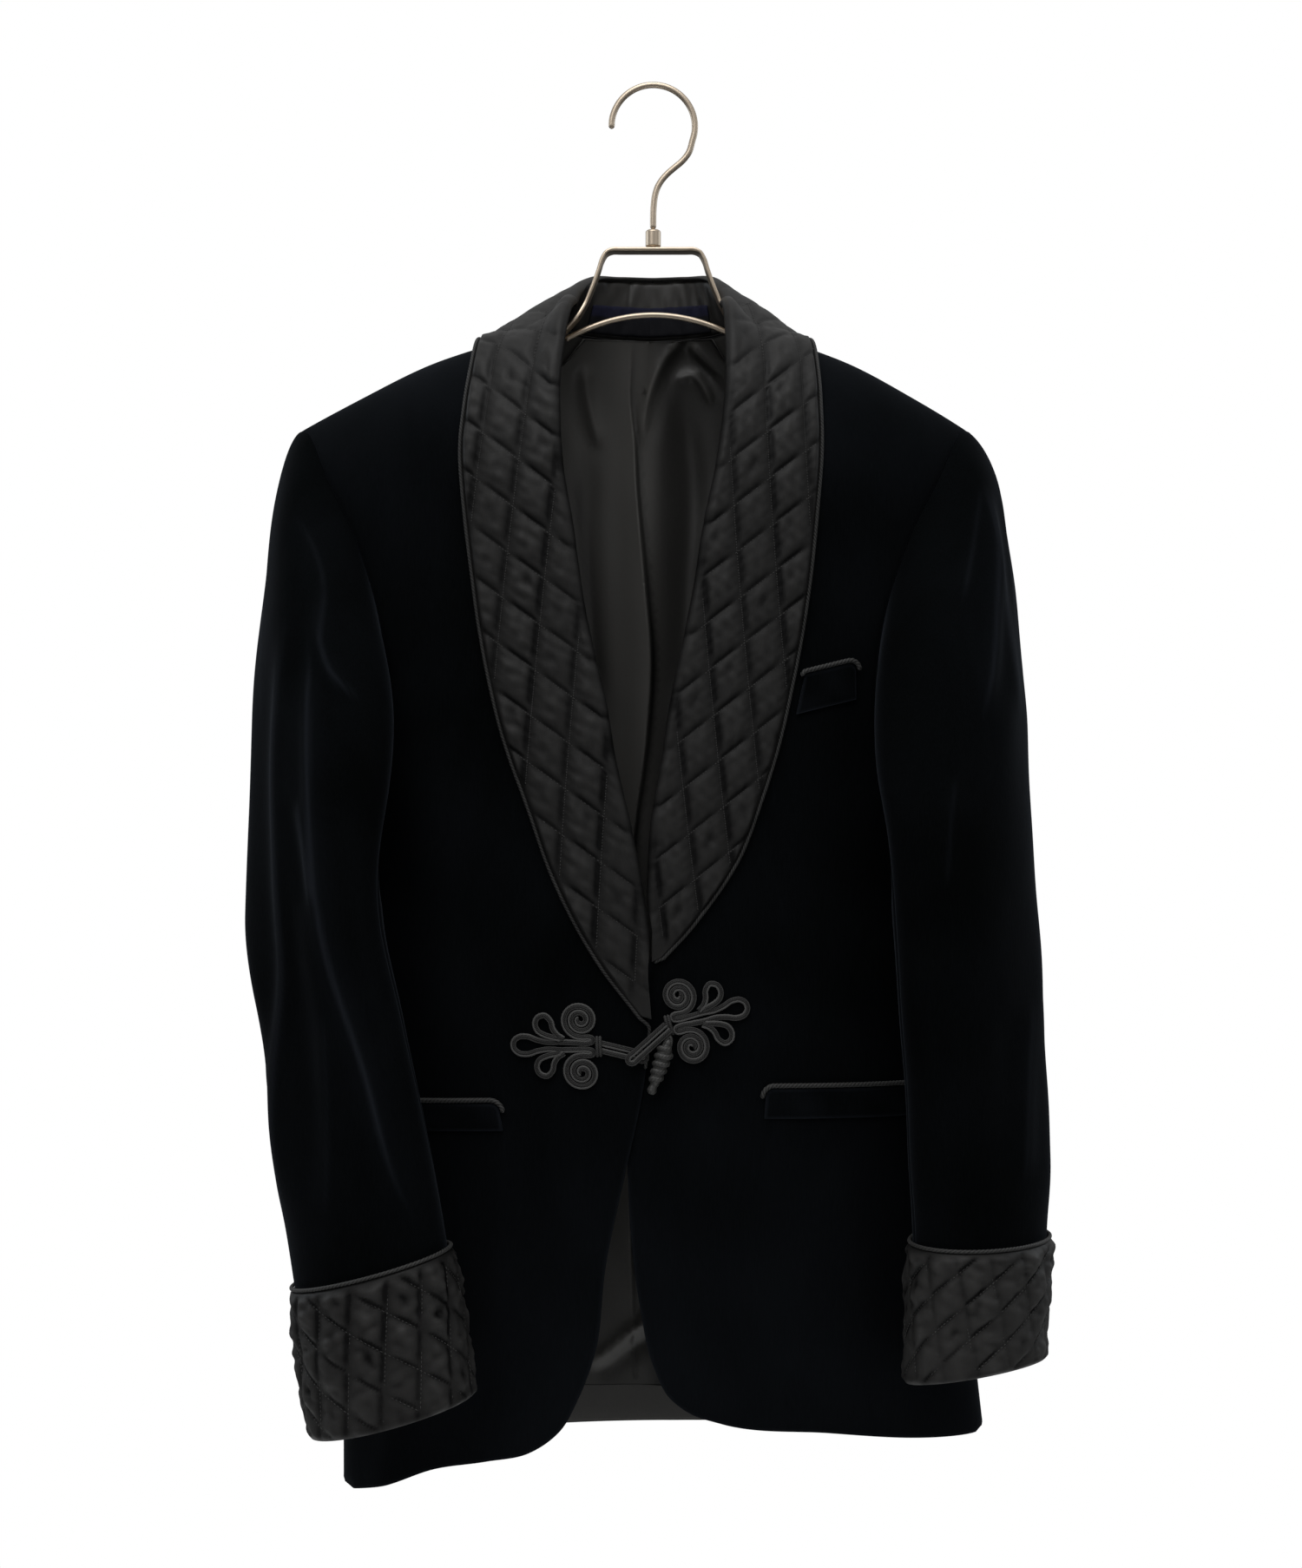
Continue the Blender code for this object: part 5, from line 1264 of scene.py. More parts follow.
@dataclass(frozen=True)
class Collar:
    """One half of the quilted shawl collar, with its rolled edge and its cord."""

    half: Side
    roll: float = 0.0019  # inside radius of the rolled edge
    on_form: int = 11  # last station that lies on the front
    break_drop: float = 0.013  # the left lapel ends lower and the right one higher
    end: float = 15.04  # the halves meet past the centre back
    rows: int = 390
    columns: int = 47
    quilting: Quilting = Quilting((95.3, 37.0))
    # stations from the break to the centre back: roll x, y, z and edge x, y, z, y 0 on the form,
    # and how much narrower the left lapel is
    stations: Table = (
        (0.0045, 0, -0.589, 0.011, 0, -0.586, 0.0), (0.0065, 0, -0.56, 0.033, 0, -0.562, 0.003),
        (0.008, 0, -0.525, 0.061, 0, -0.52, 0.0085), (0.0115, 0, -0.488, 0.078, 0, -0.476, 0.0095),
        (0.0185, 0, -0.449, 0.09, 0, -0.439, 0.0085), (0.0245, 0, -0.412, 0.0985, 0, -0.405, 0.0085),
        (0.0325, 0, -0.376, 0.106, 0, -0.368, 0.009), (0.0395, 0, -0.34, 0.1115, 0, -0.33, 0.009),
        (0.0455, 0, -0.3, 0.115, 0, -0.29, 0.007), (0.0525, 0, -0.262, 0.117, 0, -0.252, 0.005),
        (0.0565, 0, -0.225, 0.1155, 0, -0.222, 0.0045), (0.057, 0, -0.19, 0.1125, 0, -0.196, 0.0035),
        (0.0515, -0.005, -0.141, 0.106, -0.005, -0.1715, 0.0),
        (0.042, 0.026, -0.124, 0.093, 0.036, -0.174, 0.0),
        (0.024, 0.042, -0.121, 0.054, 0.06, -0.169, 0.0),
        (0.0, 0.046, -0.1215, 0.0, 0.066, -0.167, 0.0),
        (-0.024, 0.042, -0.121, -0.054, 0.06, -0.169, 0.0),
    )
    # the left half's cord goes on down the front edge: distance from the middle, height
    tail: Table = ((0.003, -0.644), (0.001, -0.629), (-0.0002, -0.617))
    left_roll: float = 0.006  # the left lapel's rolled line lies this much nearer the middle
    left_tip: tuple[float, ...] = (0, 0, -0.01, -0.006, 0, -0.011)  # move of its first station
    samples: int = 640

    def rails(self, k: Array) -> Pair:
        """The rolled line and the outer edge, unhung and in right-hand form.

        Args:
            k: stations.

        Returns:
            Points of the rolled line and of the edge.
        """
        full = np.array(self.stations)
        table = full[:, :6].copy()
        if self.half is Side.LEFT:
            table[:, 3] -= full[:, 6]
            table[:, 0] -= self.left_roll * (1 - ease(1.0, 4.0, np.arange(len(table))))
            table[0] += self.left_tip
        last = self.on_form + 1
        for c in (0, 3):
            table[:, c + 2] += self.half.value * self.break_drop * ease(0.44, 0.59, -table[:, c + 2])
            g, h = FORM.coordinates(table[:last, c], table[:last, c + 2])
            table[:last, c + 1] = FORM.point(g, h, -1)[:, 1]
        rows = smooth(np.arange(len(table)), table, k)
        return rows[..., :3], rows[..., 3:]

    def skin(self, k: Array, w: Array) -> Array:
        """The collar's underside, unhung and in right-hand form.

        Args:
            k: stations.
            w: share of the way from the rolled line to the edge.

        Returns:
            The points.
        """
        roll, edge = self.rails(k)
        p = roll + (edge - roll) * w[..., None]
        over = ease(self.on_form - 1.6, self.on_form + 0.8, k)
        p[..., 2] += 0.0035 * over * np.sin(np.pi * np.clip(w, 0, 1))
        return FORM.clear(p, REST + 0.0004 + 0.0022 * over)

    def place(self, k: Array, d: Array, lift: Lift) -> Array:
        """Hung points of the collar.

        Args:
            k: stations.
            d: distance from the rolled line, negative round the roll.
            lift: height off the underside.

        Returns:
            The points.
        """
        side = self.half.value
        roll, edge = self.rails(k)
        w, e = np.maximum(d, 0) / np.linalg.norm(edge - roll, axis=-1), 4e-3
        p = self.skin(k, w)
        out = unit(self.skin(k, w + e) - self.skin(k, np.maximum(w - e, 0)))
        last = len(self.stations) - 1
        run = self.skin(np.minimum(k + 0.02, last), w) - self.skin(np.maximum(k - 0.02, 0), w)
        normal = unit(np.cross(out, run))
        turn = np.clip(-d, 0, None) / self.roll
        bent = normal * np.cos(turn)[..., None] - out * np.sin(turn)[..., None]
        p = p - out * (self.roll * np.sin(turn))[..., None]
        p = p - normal * (self.roll * (1 - np.cos(turn)))[..., None]
        p = p + bent * np.asarray(lift)[..., None]
        p[..., 0] *= side
        lap = FORM.lap(p[..., 0], self.half) * (1 - ease(11.0, 13.0, k))
        return FORM.hang(p + normal * np.array([side, 1, 1]) * lap[..., None])

    def flat(self, k: Array, w: Array) -> Array:
        """Points of the flat pattern, unrolled past the shoulder.

        Args:
            k: stations.
            w: share of the way from the rolled line to the edge.

        Returns:
            The flat points.
        """
        keys = np.linspace(0, len(self.stations) - 1, self.samples)
        rows = np.arange(self.samples)
        turn = np.searchsorted(keys, self.on_form)
        lines = []
        for line in self.rails(keys):
            run = runs(line)
            low = np.minimum(rows, turn)
            lines.append(np.stack([line[low, 0], line[low, 2] + np.maximum(run - run[turn], 0)], 1))
        near, far = (np.stack([np.interp(k, keys, line[:, c]) for c in (0, 1)], -1) for line in lines)
        return near + (far - near) * w[..., None]

    def stitches(self, middle: Array) -> Shell:
        """The quilting's stitches, found row by row along both families of lines.

        Args:
            middle: where a crossing lies in the flat pattern.

        Returns:
            The shell.
        """
        starts, ends, ups = [], [], []
        for family, rows in ((1, 250), (0, 400)):
            k = np.linspace(0.6, 12.0, rows)
            roll, edge = self.rails(k)
            width = np.linalg.norm(edge - roll, axis=1)
            low, high = (self.quilting.places(self.flat(k, np.full(rows, w)), middle)[family]
                         for w in (0.0, 1.0))
            both = np.concatenate([low, high])
            for number in range(int(both.min()) - 1, int(both.max()) + 2):
                step = np.where(np.abs(high - low) < 1e-3, 1e-3, high - low)
                d = np.clip((number - low) / step, -1, 2) * width
                good = (d > 0.003) & (d < width - 0.003)
                good = good[:-1] & good[1:] & (np.abs(np.diff(d)) < 0.006)
                if good.any():
                    line = self.place(k, d, QUILT + 0.0002)
                    starts.append(line[:-1][good])
                    ends.append(line[1:][good])
                    ups.append((self.place(k, d, QUILT + 0.003) - line)[:-1][good])
        return stitched(*(np.concatenate(part) for part in (starts, ends, ups)))

    def build(self) -> list[Piece]:
        """The quilted half and the cord along its edge."""
        k = np.linspace(0, self.end, self.rows)
        roll, edge = self.rails(k)
        width = np.linalg.norm(edge - roll, axis=1)
        w = np.linspace(0, 1, self.columns)
        lips = np.linspace(1, 0, 9)[:-1]
        taper = (0.05 + 0.95 * ease(0.6, 2.4, k)) * (1 - 0.45 * ease(11.4, 12.6, k))
        d = np.concatenate([-self.roll * np.pi * taper[:, None] * lips[None], width[:, None] * w[None]], 1)
        kk = np.repeat(k[:, None], d.shape[1], 1)
        flat = self.flat(kk, np.clip(d / width[:, None], 0, 1))
        low, high = flat.reshape(-1, 2).min(0), flat.reshape(-1, 2).max(0)
        height, tone = self.quilting.relief(flat, (low + high) / 2, 3 + self.half.value)
        inside = width[:, None] - d
        margin = ease(-0.004, 0.001, d) * ease(0.0002, 0.003, inside) * (1 - 0.8 * ease(10.4, 12.4, kk))
        margin *= ease(0.0, 0.35, 15 - kk) * ease(0.0, 0.8, kk)
        # painted shade on the rolled lip, turning to painted light where the lip rolls over at the back neck
        painted_lip_tone = ease(0.0, -0.003, d) * (0.6 * ease(11.2, 12.2, kk) - 0.25)
        # a groove just inside the edge, darkened with painted shade
        seam = bell(inside - 0.0009, 0.0008) * ease(0.3, 1.0, kk)
        edge_fall = 0.0012 * close(inside, 0.0024) ** 2
        outer = self.place(kk, d, QUILT + height * margin - 0.0006 * seam - edge_fall)
        shell = walled(outer, self.place(kk, d, 0.0), tone * margin - 0.18 * seam + painted_lip_tone)
        shell = shell.joined(self.stitches((low + high) / 2))
        word = self.half.word
        made = [add_piece(f"collar_{word}_quilted", shell, (QUILT_SATIN, QUILT_SATIN, SILK_CORD),
                          (f"collar_{word}",))]
        thin = 0.75 * CORD
        line = self.place(k, width, thin + 0.0002)
        ups = unit(self.place(k, width, 0.005) - line)
        aside = unit(np.cross(unit(np.gradient(line, axis=0)), ups))
        aside *= np.sign((aside * (line - self.place(k, 0.6 * width, thin))).sum(1))[:, None]
        line = line + aside * (SEAM + 0.7 * thin)
        if self.half is Side.LEFT:
            tail = FORM.mapped(np.array(self.tail)).T
            foot, raised = (FORM.on_front(self.half)(*tail, lift) for lift in (thin, 0.005))
        else:
            start, across = np.zeros(3), np.linspace(0.1, 0.7, 3) * width[0]
            foot, raised, above = (self.place(start + up, across, lift)
                                   for up, lift in ((0, thin), (0, 0.005), (0.2, thin)))
            foot, raised = (p - unit(above - foot) * (SEAM + 0.7 * thin) for p in (foot, raised))
        line, ups = np.concatenate([foot, line]), np.concatenate([unit(raised - foot), ups])
        shell = rope(*dense(line, ups, 0.00062), thin, 0.0024, sides=12, taper=0.002)
        shell.tone -= 0.12
        made.append(add_piece(f"collar_cord_{word}_twist", shell, (SILK_CORD,),
                              (f"collar_cord_{word}",)))
        return made


@dataclass(frozen=True)
class Neck:
    """The satin stand round the back neck and the plain band inside it."""

    # neck seam at the collar's stations 11 to 15: x, y, z
    seam: Table = (
        (0.0615, -0.046, -0.192), (0.062, -0.005, -0.1565), (0.05, 0.0235, -0.16),
        (0.027, 0.0355, -0.162), (0.0, 0.04, -0.163),
    )

    def straight(self, k: Array, w: Array) -> Array:
        """Points of the straight stand.

        Args:
            k: place round, from -4 to 4 through the centre back.
            w: share of the way from the neck seam to the roll.

        Returns:
            The points.
        """
        station = 15 - np.abs(k)
        low = smooth(np.arange(11, 16), np.array(self.seam), station)
        roll, _ = Collar(Side.RIGHT).rails(station)
        p = low + (roll - low) * w[..., None]
        p[..., 0] *= np.where(k < 0, -1, 1)
        return p

    def place(self, k: Array, w: Array, lift: Lift) -> Array:
        """Hung points of the stand, lifted inwards; arguments as in straight."""
        d = 1e-3
        p = self.straight(k, w)
        run = self.straight(k + d, w) - self.straight(k - d, w)
        up = self.straight(k, w + d) - self.straight(k, w - d)
        normal = unit(np.cross(up, run))
        normal *= np.sign((normal * (np.array([0.0, -0.03, -0.15]) - p)).sum(-1))[..., None]
        return FORM.hang(p + normal * np.asarray(lift)[..., None])

    def strip(self, name: str, k: Array, w: Array, low: float, thick: float, finish: Finish,
              slot: Slot, node: str) -> Piece:
        """A strip of cloth on the stand.

        Args:
            name: the piece's name.
            k: places round.
            w: places up.
            low: lift of its hidden face.
            thick: its thickness.
            finish: its finish.
            slot: the record's slot.
            node: the solid that it stands for.

        Returns:
            The piece.
        """
        soft = 0.0003 * ripple(np.stack([k * 0.03, w * 0.04], -1), 0.012, 17)
        soft -= 0.0006 * bell(k + 0.62, 0.05) * (slot is Slot.SATIN)
        edge = np.minimum(np.minimum(w - w.min(), w.max() - w) / 0.06, 1)
        top = low + thick + soft - 0.0005 * (1 - np.clip(edge, 0, 1)) ** 2
        # painted shade on the stand near the neck seam, and a painted shadow over the band's lower part
        tone = -0.3 * ease(0.3, 0.0, w) if slot is Slot.SATIN else -0.9 * ease(0.38, 0.32, w)
        shell = walled(self.place(k, w, top), self.place(k, w, low), tone)
        return add_piece(name, shell, (finish,), (node,))

    def build(self) -> list[Piece]:
        """The stand and the band."""
        k, w = np.meshgrid(np.linspace(-3.45, 3.45, 161), np.linspace(0.0, 1.0, 17), indexing="ij")
        first = 0.01 + 0.08 * ease(2.2, 3.4, np.abs(k[:, :1]))
        w = first + w * (0.99 - first)
        stand = self.strip("collar_stand_satin", k, w, 0.0004, VELVET, PLAIN_SATIN, Slot.SATIN,
                           "collar_stand")
        k, w = np.meshgrid(np.linspace(-1.72, 1.72, 121), np.linspace(0.06, 0.55, 17), indexing="ij")
        band = self.strip("neck_band_weave", k, w, 0.0004 + VELVET + 0.0008, 0.001, NAVY_WEAVE, Slot.BAND,
                          "neck_band")
        return [stand, band]


@dataclass(frozen=True)
class SleeveCut:
    """Sizes that differ between the two sleeves."""

    # height, x, y, half length, half breadth, turn from fore-and-aft, tilt (degrees)
    rings: Table
    # place round from the shoulder tip, direction x, y, z, share of the handle
    leave: Table
    # place round, height, reach round, reach in height, depth, lean
    folds: Table
    cuff_top: float
    cuff_lift: float
    # creases, with painted highlights on their crests
    creases: tuple[Crease, ...]


SLEEVES: dict[Side, SleeveCut] = {
    Side.LEFT: SleeveCut(
        rings=(
            (-0.48, 0.194, -0.077, 0.068, 0.034, 22, 0), (-0.545, 0.202, -0.085, 0.067, 0.035, 27, 0),
            (-0.612, 0.195, -0.094, 0.062, 0.037, 34, 2), (-0.68, 0.186, -0.104, 0.058, 0.04, 42, 8),
            (-0.745, 0.178, -0.111, 0.053, 0.04, 52, 16), (-0.8, 0.173, -0.115, 0.05, 0.04, 57, 18),
            (-0.862, 0.167, -0.119, 0.05, 0.039, 60, 18),
        ),
        leave=(
            (0.0, 0.66, 0.0, -0.75, 0.1), (0.13, 0.44, -0.5, -0.74, 0.2), (0.3, -0.3, -0.72, -0.62, 0.42),
            (0.5, 0.74, -0.06, -0.67, 0.36), (0.75, 0.42, 0.34, -0.84, 0.28), (1.0, 0.66, 0.0, -0.75, 0.1),
        ),
        folds=(
            (0.93, -0.5, 0.045, 0.2, 0.004, -0.05), (0.17, -0.52, 0.05, 0.16, 0.0045, 0.45),
            (0.06, -0.66, 0.05, 0.14, -0.0035, 0.3),
        ),
        cuff_top=-0.766, cuff_lift=0.0,
        creases=(
            Crease(((-0.2321, -0.349), (-0.2359, -0.4083), (-0.2375, -0.4557), (-0.2343, -0.5177),
                    (-0.2307, -0.5797), (-0.2343, -0.6309), (-0.2307, -0.7516)), 0.005, 0.0026, 0.9, 1, 0.26),
            Crease(((-0.2187, -0.3598), (-0.2136, -0.4212), (-0.2068, -0.5075), (-0.1998, -0.5589),
                    (-0.1757, -0.6414), (-0.1518, -0.7171), (-0.1413, -0.7344)), 0.005, 0.003, 0.9, -1, 0.46),
            Crease(((-0.235, -0.287), (-0.2231, -0.303), (-0.2108, -0.3324), (-0.2092, -0.3762),
                    (-0.2012, -0.396), (-0.1793, -0.4157)), 0.0046, 0.0022, 0.8, 1, 0.34),
            Crease(((-0.2199, -0.4707), (-0.2098, -0.5103), (-0.2034, -0.5423)),
                   0.0044, 0.0018, 0.8, 1, 0.24),
            Crease(((-0.2, -0.6), (-0.198, -0.66), (-0.203, -0.74)), 0.008, 0.002, 0.6, -1, 0.12),
        ),
    ),
    Side.RIGHT: SleeveCut(
        rings=(
            (-0.48, 0.211, -0.075, 0.073, 0.04, 28, 0), (-0.545, 0.2105, -0.08, 0.071, 0.04, 31, 0),
            (-0.612, 0.2105, -0.082, 0.066, 0.039, 33, 0), (-0.68, 0.211, -0.085, 0.062, 0.039, 35, 0),
            (-0.745, 0.209, -0.089, 0.055, 0.039, 37, 0), (-0.8, 0.203, -0.093, 0.05, 0.037, 38, 0),
            (-0.862, 0.197, -0.097, 0.05, 0.037, 40, 0),
        ),
        leave=(
            (0.0, 0.78, 0.0, -0.63, 0.17), (0.13, 0.54, -0.5, -0.68, 0.22), (0.3, -0.2, -0.74, -0.64, 0.4),
            (0.5, 0.74, -0.06, -0.67, 0.36), (0.75, 0.72, 0.32, -0.62, 0.34), (1.0, 0.78, 0.0, -0.63, 0.17),
        ),
        folds=(
            (0.07, -0.36, 0.05, 0.1, 0.004, 0.2), (0.2, -0.55, 0.06, 0.15, -0.003, 0.15),
            (0.92, -0.66, 0.05, 0.12, 0.003, 0.0),
        ),
        cuff_top=-0.752, cuff_lift=0.016,
        creases=(
            Crease(((0.215, -0.262), (0.219, -0.302), (0.216, -0.348), (0.2125, -0.383), (0.2045, -0.429)),
                   0.005, 0.0026, 0.9, -1, 0.34),
            Crease(((0.2135, -0.268), (0.205, -0.311), (0.196, -0.35)), 0.0046, 0.0018, 0.8, 1, 0.22),
            Crease(((0.2136, -0.2563), (0.2255, -0.349), (0.2341, -0.4282)), 0.005, 0.0016, 0.5, -1, 0.22),
            Crease(((0.2395, -0.596), (0.2325, -0.665), (0.2305, -0.717)), 0.008, 0.0026, 0.7, 1, 0.16),
            Crease(((0.1877, -0.4557), (0.1826, -0.4902), (0.18, -0.53)), 0.006, 0.0016, 0.6, -1, 0.12),
        ),
    ),
}


@dataclass(frozen=True)
class Sleeve:
    """A two-piece sleeve with its quilted cuff and the cuff's cord."""

    side: Side
    columns: int = 160
    head_rows: int = 70
    arm_rows: int = 72
    seams: tuple[float, float] = (0.35, 0.75)
    cuff_high: float = 0.089
    cuff_off: float = 0.0023  # gap between sleeve and cuff
    cuff_seam: float = 0.6  # place round the sleeve where the cuff's seam lies
    cuff_grid: tuple[int, int] = (204, 62)
    overlap: float = 0.022  # the sleeve ends this far above the cuff's foot
    tuck: float = 0.0045  # its first row goes this far in under the armhole's edge
    stitching: tuple[Quilting, Quilting] = (  # of the left cuff and of the right one
        Quilting((102.0, 44.0), 0.0235, 0.0026, bold=(0.8, 0.85), crumple=2.4),
        Quilting((101.0, 43.0), 0.0235, 0.0024, bold=(0.4, 0.95), crumple=2.0))

    def ring(self, z: Array, u: Array) -> Pair:
        """A section of the sleeve, unhung and in right-hand form.

        Args:
            z: height.
            u: place round it.

        Returns:
            Points and outward directions.
        """
        table = np.array(SLEEVES[self.side].rings)
        rows = smooth(-table[:, 0], table, -z)
        angle = (0.5 - u) * 2 * np.pi
        long, broad = rows[..., 3], rows[..., 4]
        turn, tilt = np.radians(rows[..., 5]), np.radians(rows[..., 6])
        fore = np.stack([-np.sin(turn), -np.cos(turn)], -1)
        out = np.stack([np.cos(turn), -np.sin(turn)], -1)
        c, s = -np.cos(angle), np.sin(angle)
        flat = fore * (long * s)[..., None] + out * (broad * c)[..., None]
        norm = unit(fore * (broad * s)[..., None] + out * (long * c)[..., None])
        drop = np.tan(tilt) * flat[..., 0]
        p = np.stack([rows[..., 1] + flat[..., 0], rows[..., 2] + flat[..., 1], z - drop], -1)
        return p, np.stack([norm[..., 0], norm[..., 1], np.zeros_like(z)], -1)

    def grid(self) -> Pair:
        """Rows of points from the armhole to inside the cuff, and their outward directions."""
        cut, count = SLEEVES[self.side], self.columns
        half = count // 2
        fore, aft = FORM.armhole(ARMHOLE_FRONT, half + 1), FORM.armhole(ARMHOLE_BACK, half + 1)
        start = np.concatenate([FORM.point(*fore.T, -1), FORM.point(*aft.T, 1)[-2:0:-1]])
        normal = np.concatenate([FORM.normal(fore[:, 0], fore[:, 1] - 3e-4, -1),
                                 FORM.normal(aft[:, 0], aft[:, 1] - 3e-4, 1)[-2:0:-1]])
        normal[half] = (1, 0, 0)
        run = unit(np.roll(start, -1, 0) - np.roll(start, 1, 0))
        u = np.arange(count) / count
        leave_rows = np.array(cut.leave)
        way = smooth(leave_rows[:, 0], leave_rows[:, 1:], u)
        leave = unit(way[:, :3])
        first = start + unit(leave + unit(np.cross(normal, run))) * 0.0007
        z_top, z_end = cut.rings[1][0], cut.cuff_top - self.cuff_high + self.overlap
        ring, _ = self.ring(np.full(count, z_top), u)
        below, _ = self.ring(np.full(count, z_top - 0.004), u)
        length = np.linalg.norm(ring - first, axis=1)[:, None]
        one = first + leave * length * way[:, 3:]
        two = ring - unit(below - ring) * length * 0.36
        t = np.linspace(0, 1, self.head_rows)[:-1, None, None]
        s = 1 - t
        head = s ** 3 * first + 3 * t * s ** 2 * one + 3 * t * t * s * two + t ** 3 * ring
        z = np.repeat(np.linspace(z_top, z_end, self.arm_rows)[:, None], count, 1)
        grid = np.concatenate([head, self.ring(z, np.broadcast_to(u, z.shape))[0]])
        wrap = np.concatenate([grid[:, -1:], grid, grid[:, :1]], 1)
        n = unit(np.cross(np.gradient(wrap, axis=0), np.gradient(wrap, axis=1)))[:, 1:-1]
        n *= np.sign((n[-1] * (grid[-1] - grid[-1].mean(0))).sum())
        folded = (leave * normal).sum(1, keepdims=True) < 0
        n[0] = np.where(folded, normal, unit(np.cross(run, leave)))
        tucked = start - leave * self.tuck - normal * (VELVET + 0.0022)
        return np.concatenate([tucked[None], grid]), np.concatenate([n[:1], n])

    def puff(self, grid: Array, n: Array) -> Pair:
        """Height and tone of the folds and creases over the plain sleeve.

        Args:
            grid: its points.
            n: its outward directions.

        Returns:
            The height and the tone at each point: painted highlights on the creases' crests, with a little
                uneven tone.
        """
        cut = SLEEVES[self.side]
        u = np.arange(self.columns) / self.columns
        puff = np.zeros(grid.shape[:2])
        for place, z, reach, tall, depth, slant in cut.folds:
            off = (u[None] - place - slant * (grid[..., 2] - z) + 0.5) % 1 - 0.5
            puff += depth * np.exp(-(off / reach) ** 2 - ((grid[..., 2] - z) / tall) ** 4)
        hung = FORM.hang(grid * np.array([self.side.value, 1, 1]))
        ahead = ease(-0.15, 0.25, -n[..., 1])
        behind = ease(-0.15, 0.25, n[..., 1])
        swayed = hung + np.array([0.012, 0, 0.022])
        front, back = np.stack(creased(cut.creases, hung)), np.stack(creased(cut.creases[:3], swayed))
        rise, tone = front * ahead + back * behind
        puff += rise + 0.0007 * ripple(hung, 0.11, 31 + self.side.value)
        rows = np.arange(len(grid)) * 8 / (self.head_rows - 1)
        share = ease(0, 4, rows)[:, None] * ease(0.005, 0.05, grid[..., 2] - cut.cuff_top)
        return puff * share, tone * share - 0.035 + 0.015 * ripple(hung, 0.09, 77)

    def build(self) -> list[Piece]:
        """Top and under sleeve, cuff and cord."""
        grid, n = self.grid()
        rounded = close(runs(grid[:, 0])[:, None], 0.004) ** 2 * 0.0011
        puff, tone = self.puff(grid, n)
        # painted sheen along the armhole seam
        tone = tone + 0.3 * close(runs(grid[:, 0])[:, None], 0.0025)
        body = grid + n * puff[..., None]
        flip = np.array([self.side.value, 1, 1])
        near, far = (int(self.columns * s) for s in self.seams)
        made = []
        for label, first, last in (("top", far, near + self.columns), ("under", near, far)):
            at = np.arange(first, last + 1) % self.columns
            block, ways = body[:, at].copy(), n[:, at]
            block[:, 0] += unit(block[:, 1] - block[:, 0]) * SEAM / 2
            block[:, -1] += unit(block[:, -2] - block[:, -1]) * SEAM / 2
            along = np.linalg.norm(np.diff(block, axis=1), axis=2)
            from_left = np.concatenate([np.zeros((len(block), 1)), np.cumsum(along, 1)], 1)
            gap = np.minimum(from_left, from_left[:, -1:] - from_left)
            fall = rounded[:, :1] + 0.001 * close(gap, 0.0034) ** 2
            outer = FORM.hang((block - ways * fall[..., None]) * flip)
            inner = FORM.hang((block - ways * VELVET) * flip)
            # painted sheen along the sleeve's seams
            shell = walled(outer, inner, tone[:, at] + 0.26 * close(gap, 0.0022))
            name = f"sleeve_{label}_{self.side.word}"
            made.append(add_piece(f"{name}_velvet", shell, (PILE, LINING_SATIN), (name,)))
        return made + self.cuff()

    def cuff(self) -> list[Piece]:
        """The turned-back cuff and the cord round its top."""
        cut, flip = SLEEVES[self.side], np.array([self.side.value, 1, 1])
        u = np.linspace(0, 1, 201)
        loop = self.ring(np.full(201, cut.cuff_top - self.cuff_high / 2), u)[0]
        girth = runs(loop)[-1]

        def laid(p: Array, q: Array, lift: Lift) -> Array:
            """Hung points at p round the cuff, q up it and a lift off the sleeve."""
            around = (self.cuff_seam + p / girth) % 1.0
            rise = cut.cuff_lift * (0.5 + 0.5 * np.cos(2 * np.pi * around)) * (1 - q / self.cuff_high)
            point, out = self.ring(cut.cuff_top - self.cuff_high + q + rise, around)
            off = self.cuff_off * (1 - 0.65 * ease(0.045, 0.085, q))
            return FORM.hang((point + out * (off + np.asarray(lift))[..., None]) * flip)

        around, upward = self.cuff_grid
        p, q = np.meshgrid(np.linspace(SEAM / 2, girth - SEAM / 2, around),
                           np.linspace(0, self.cuff_high, upward), indexing="ij")
        flat, middle = np.stack([girth - p, q], -1), np.array([girth, self.cuff_high]) / 2
        quilting = self.stitching[self.side is Side.RIGHT]
        height, tone = quilting.relief(flat, middle, 29 + self.side.value)
        gap = np.minimum(q, self.cuff_high - q)
        margin = ease(0.0, 0.0035, q) * ease(0.001, 0.006, self.cuff_high - q)
        margin *= ease(0.0, 0.004, np.minimum(p, girth - p)) * (0.75 + 0.35 * ease(0.02, 0.07, q))
        height = height * margin + 0.0007 * ripple(flat, 0.045, 41) * ease(0.0, 0.012, gap)
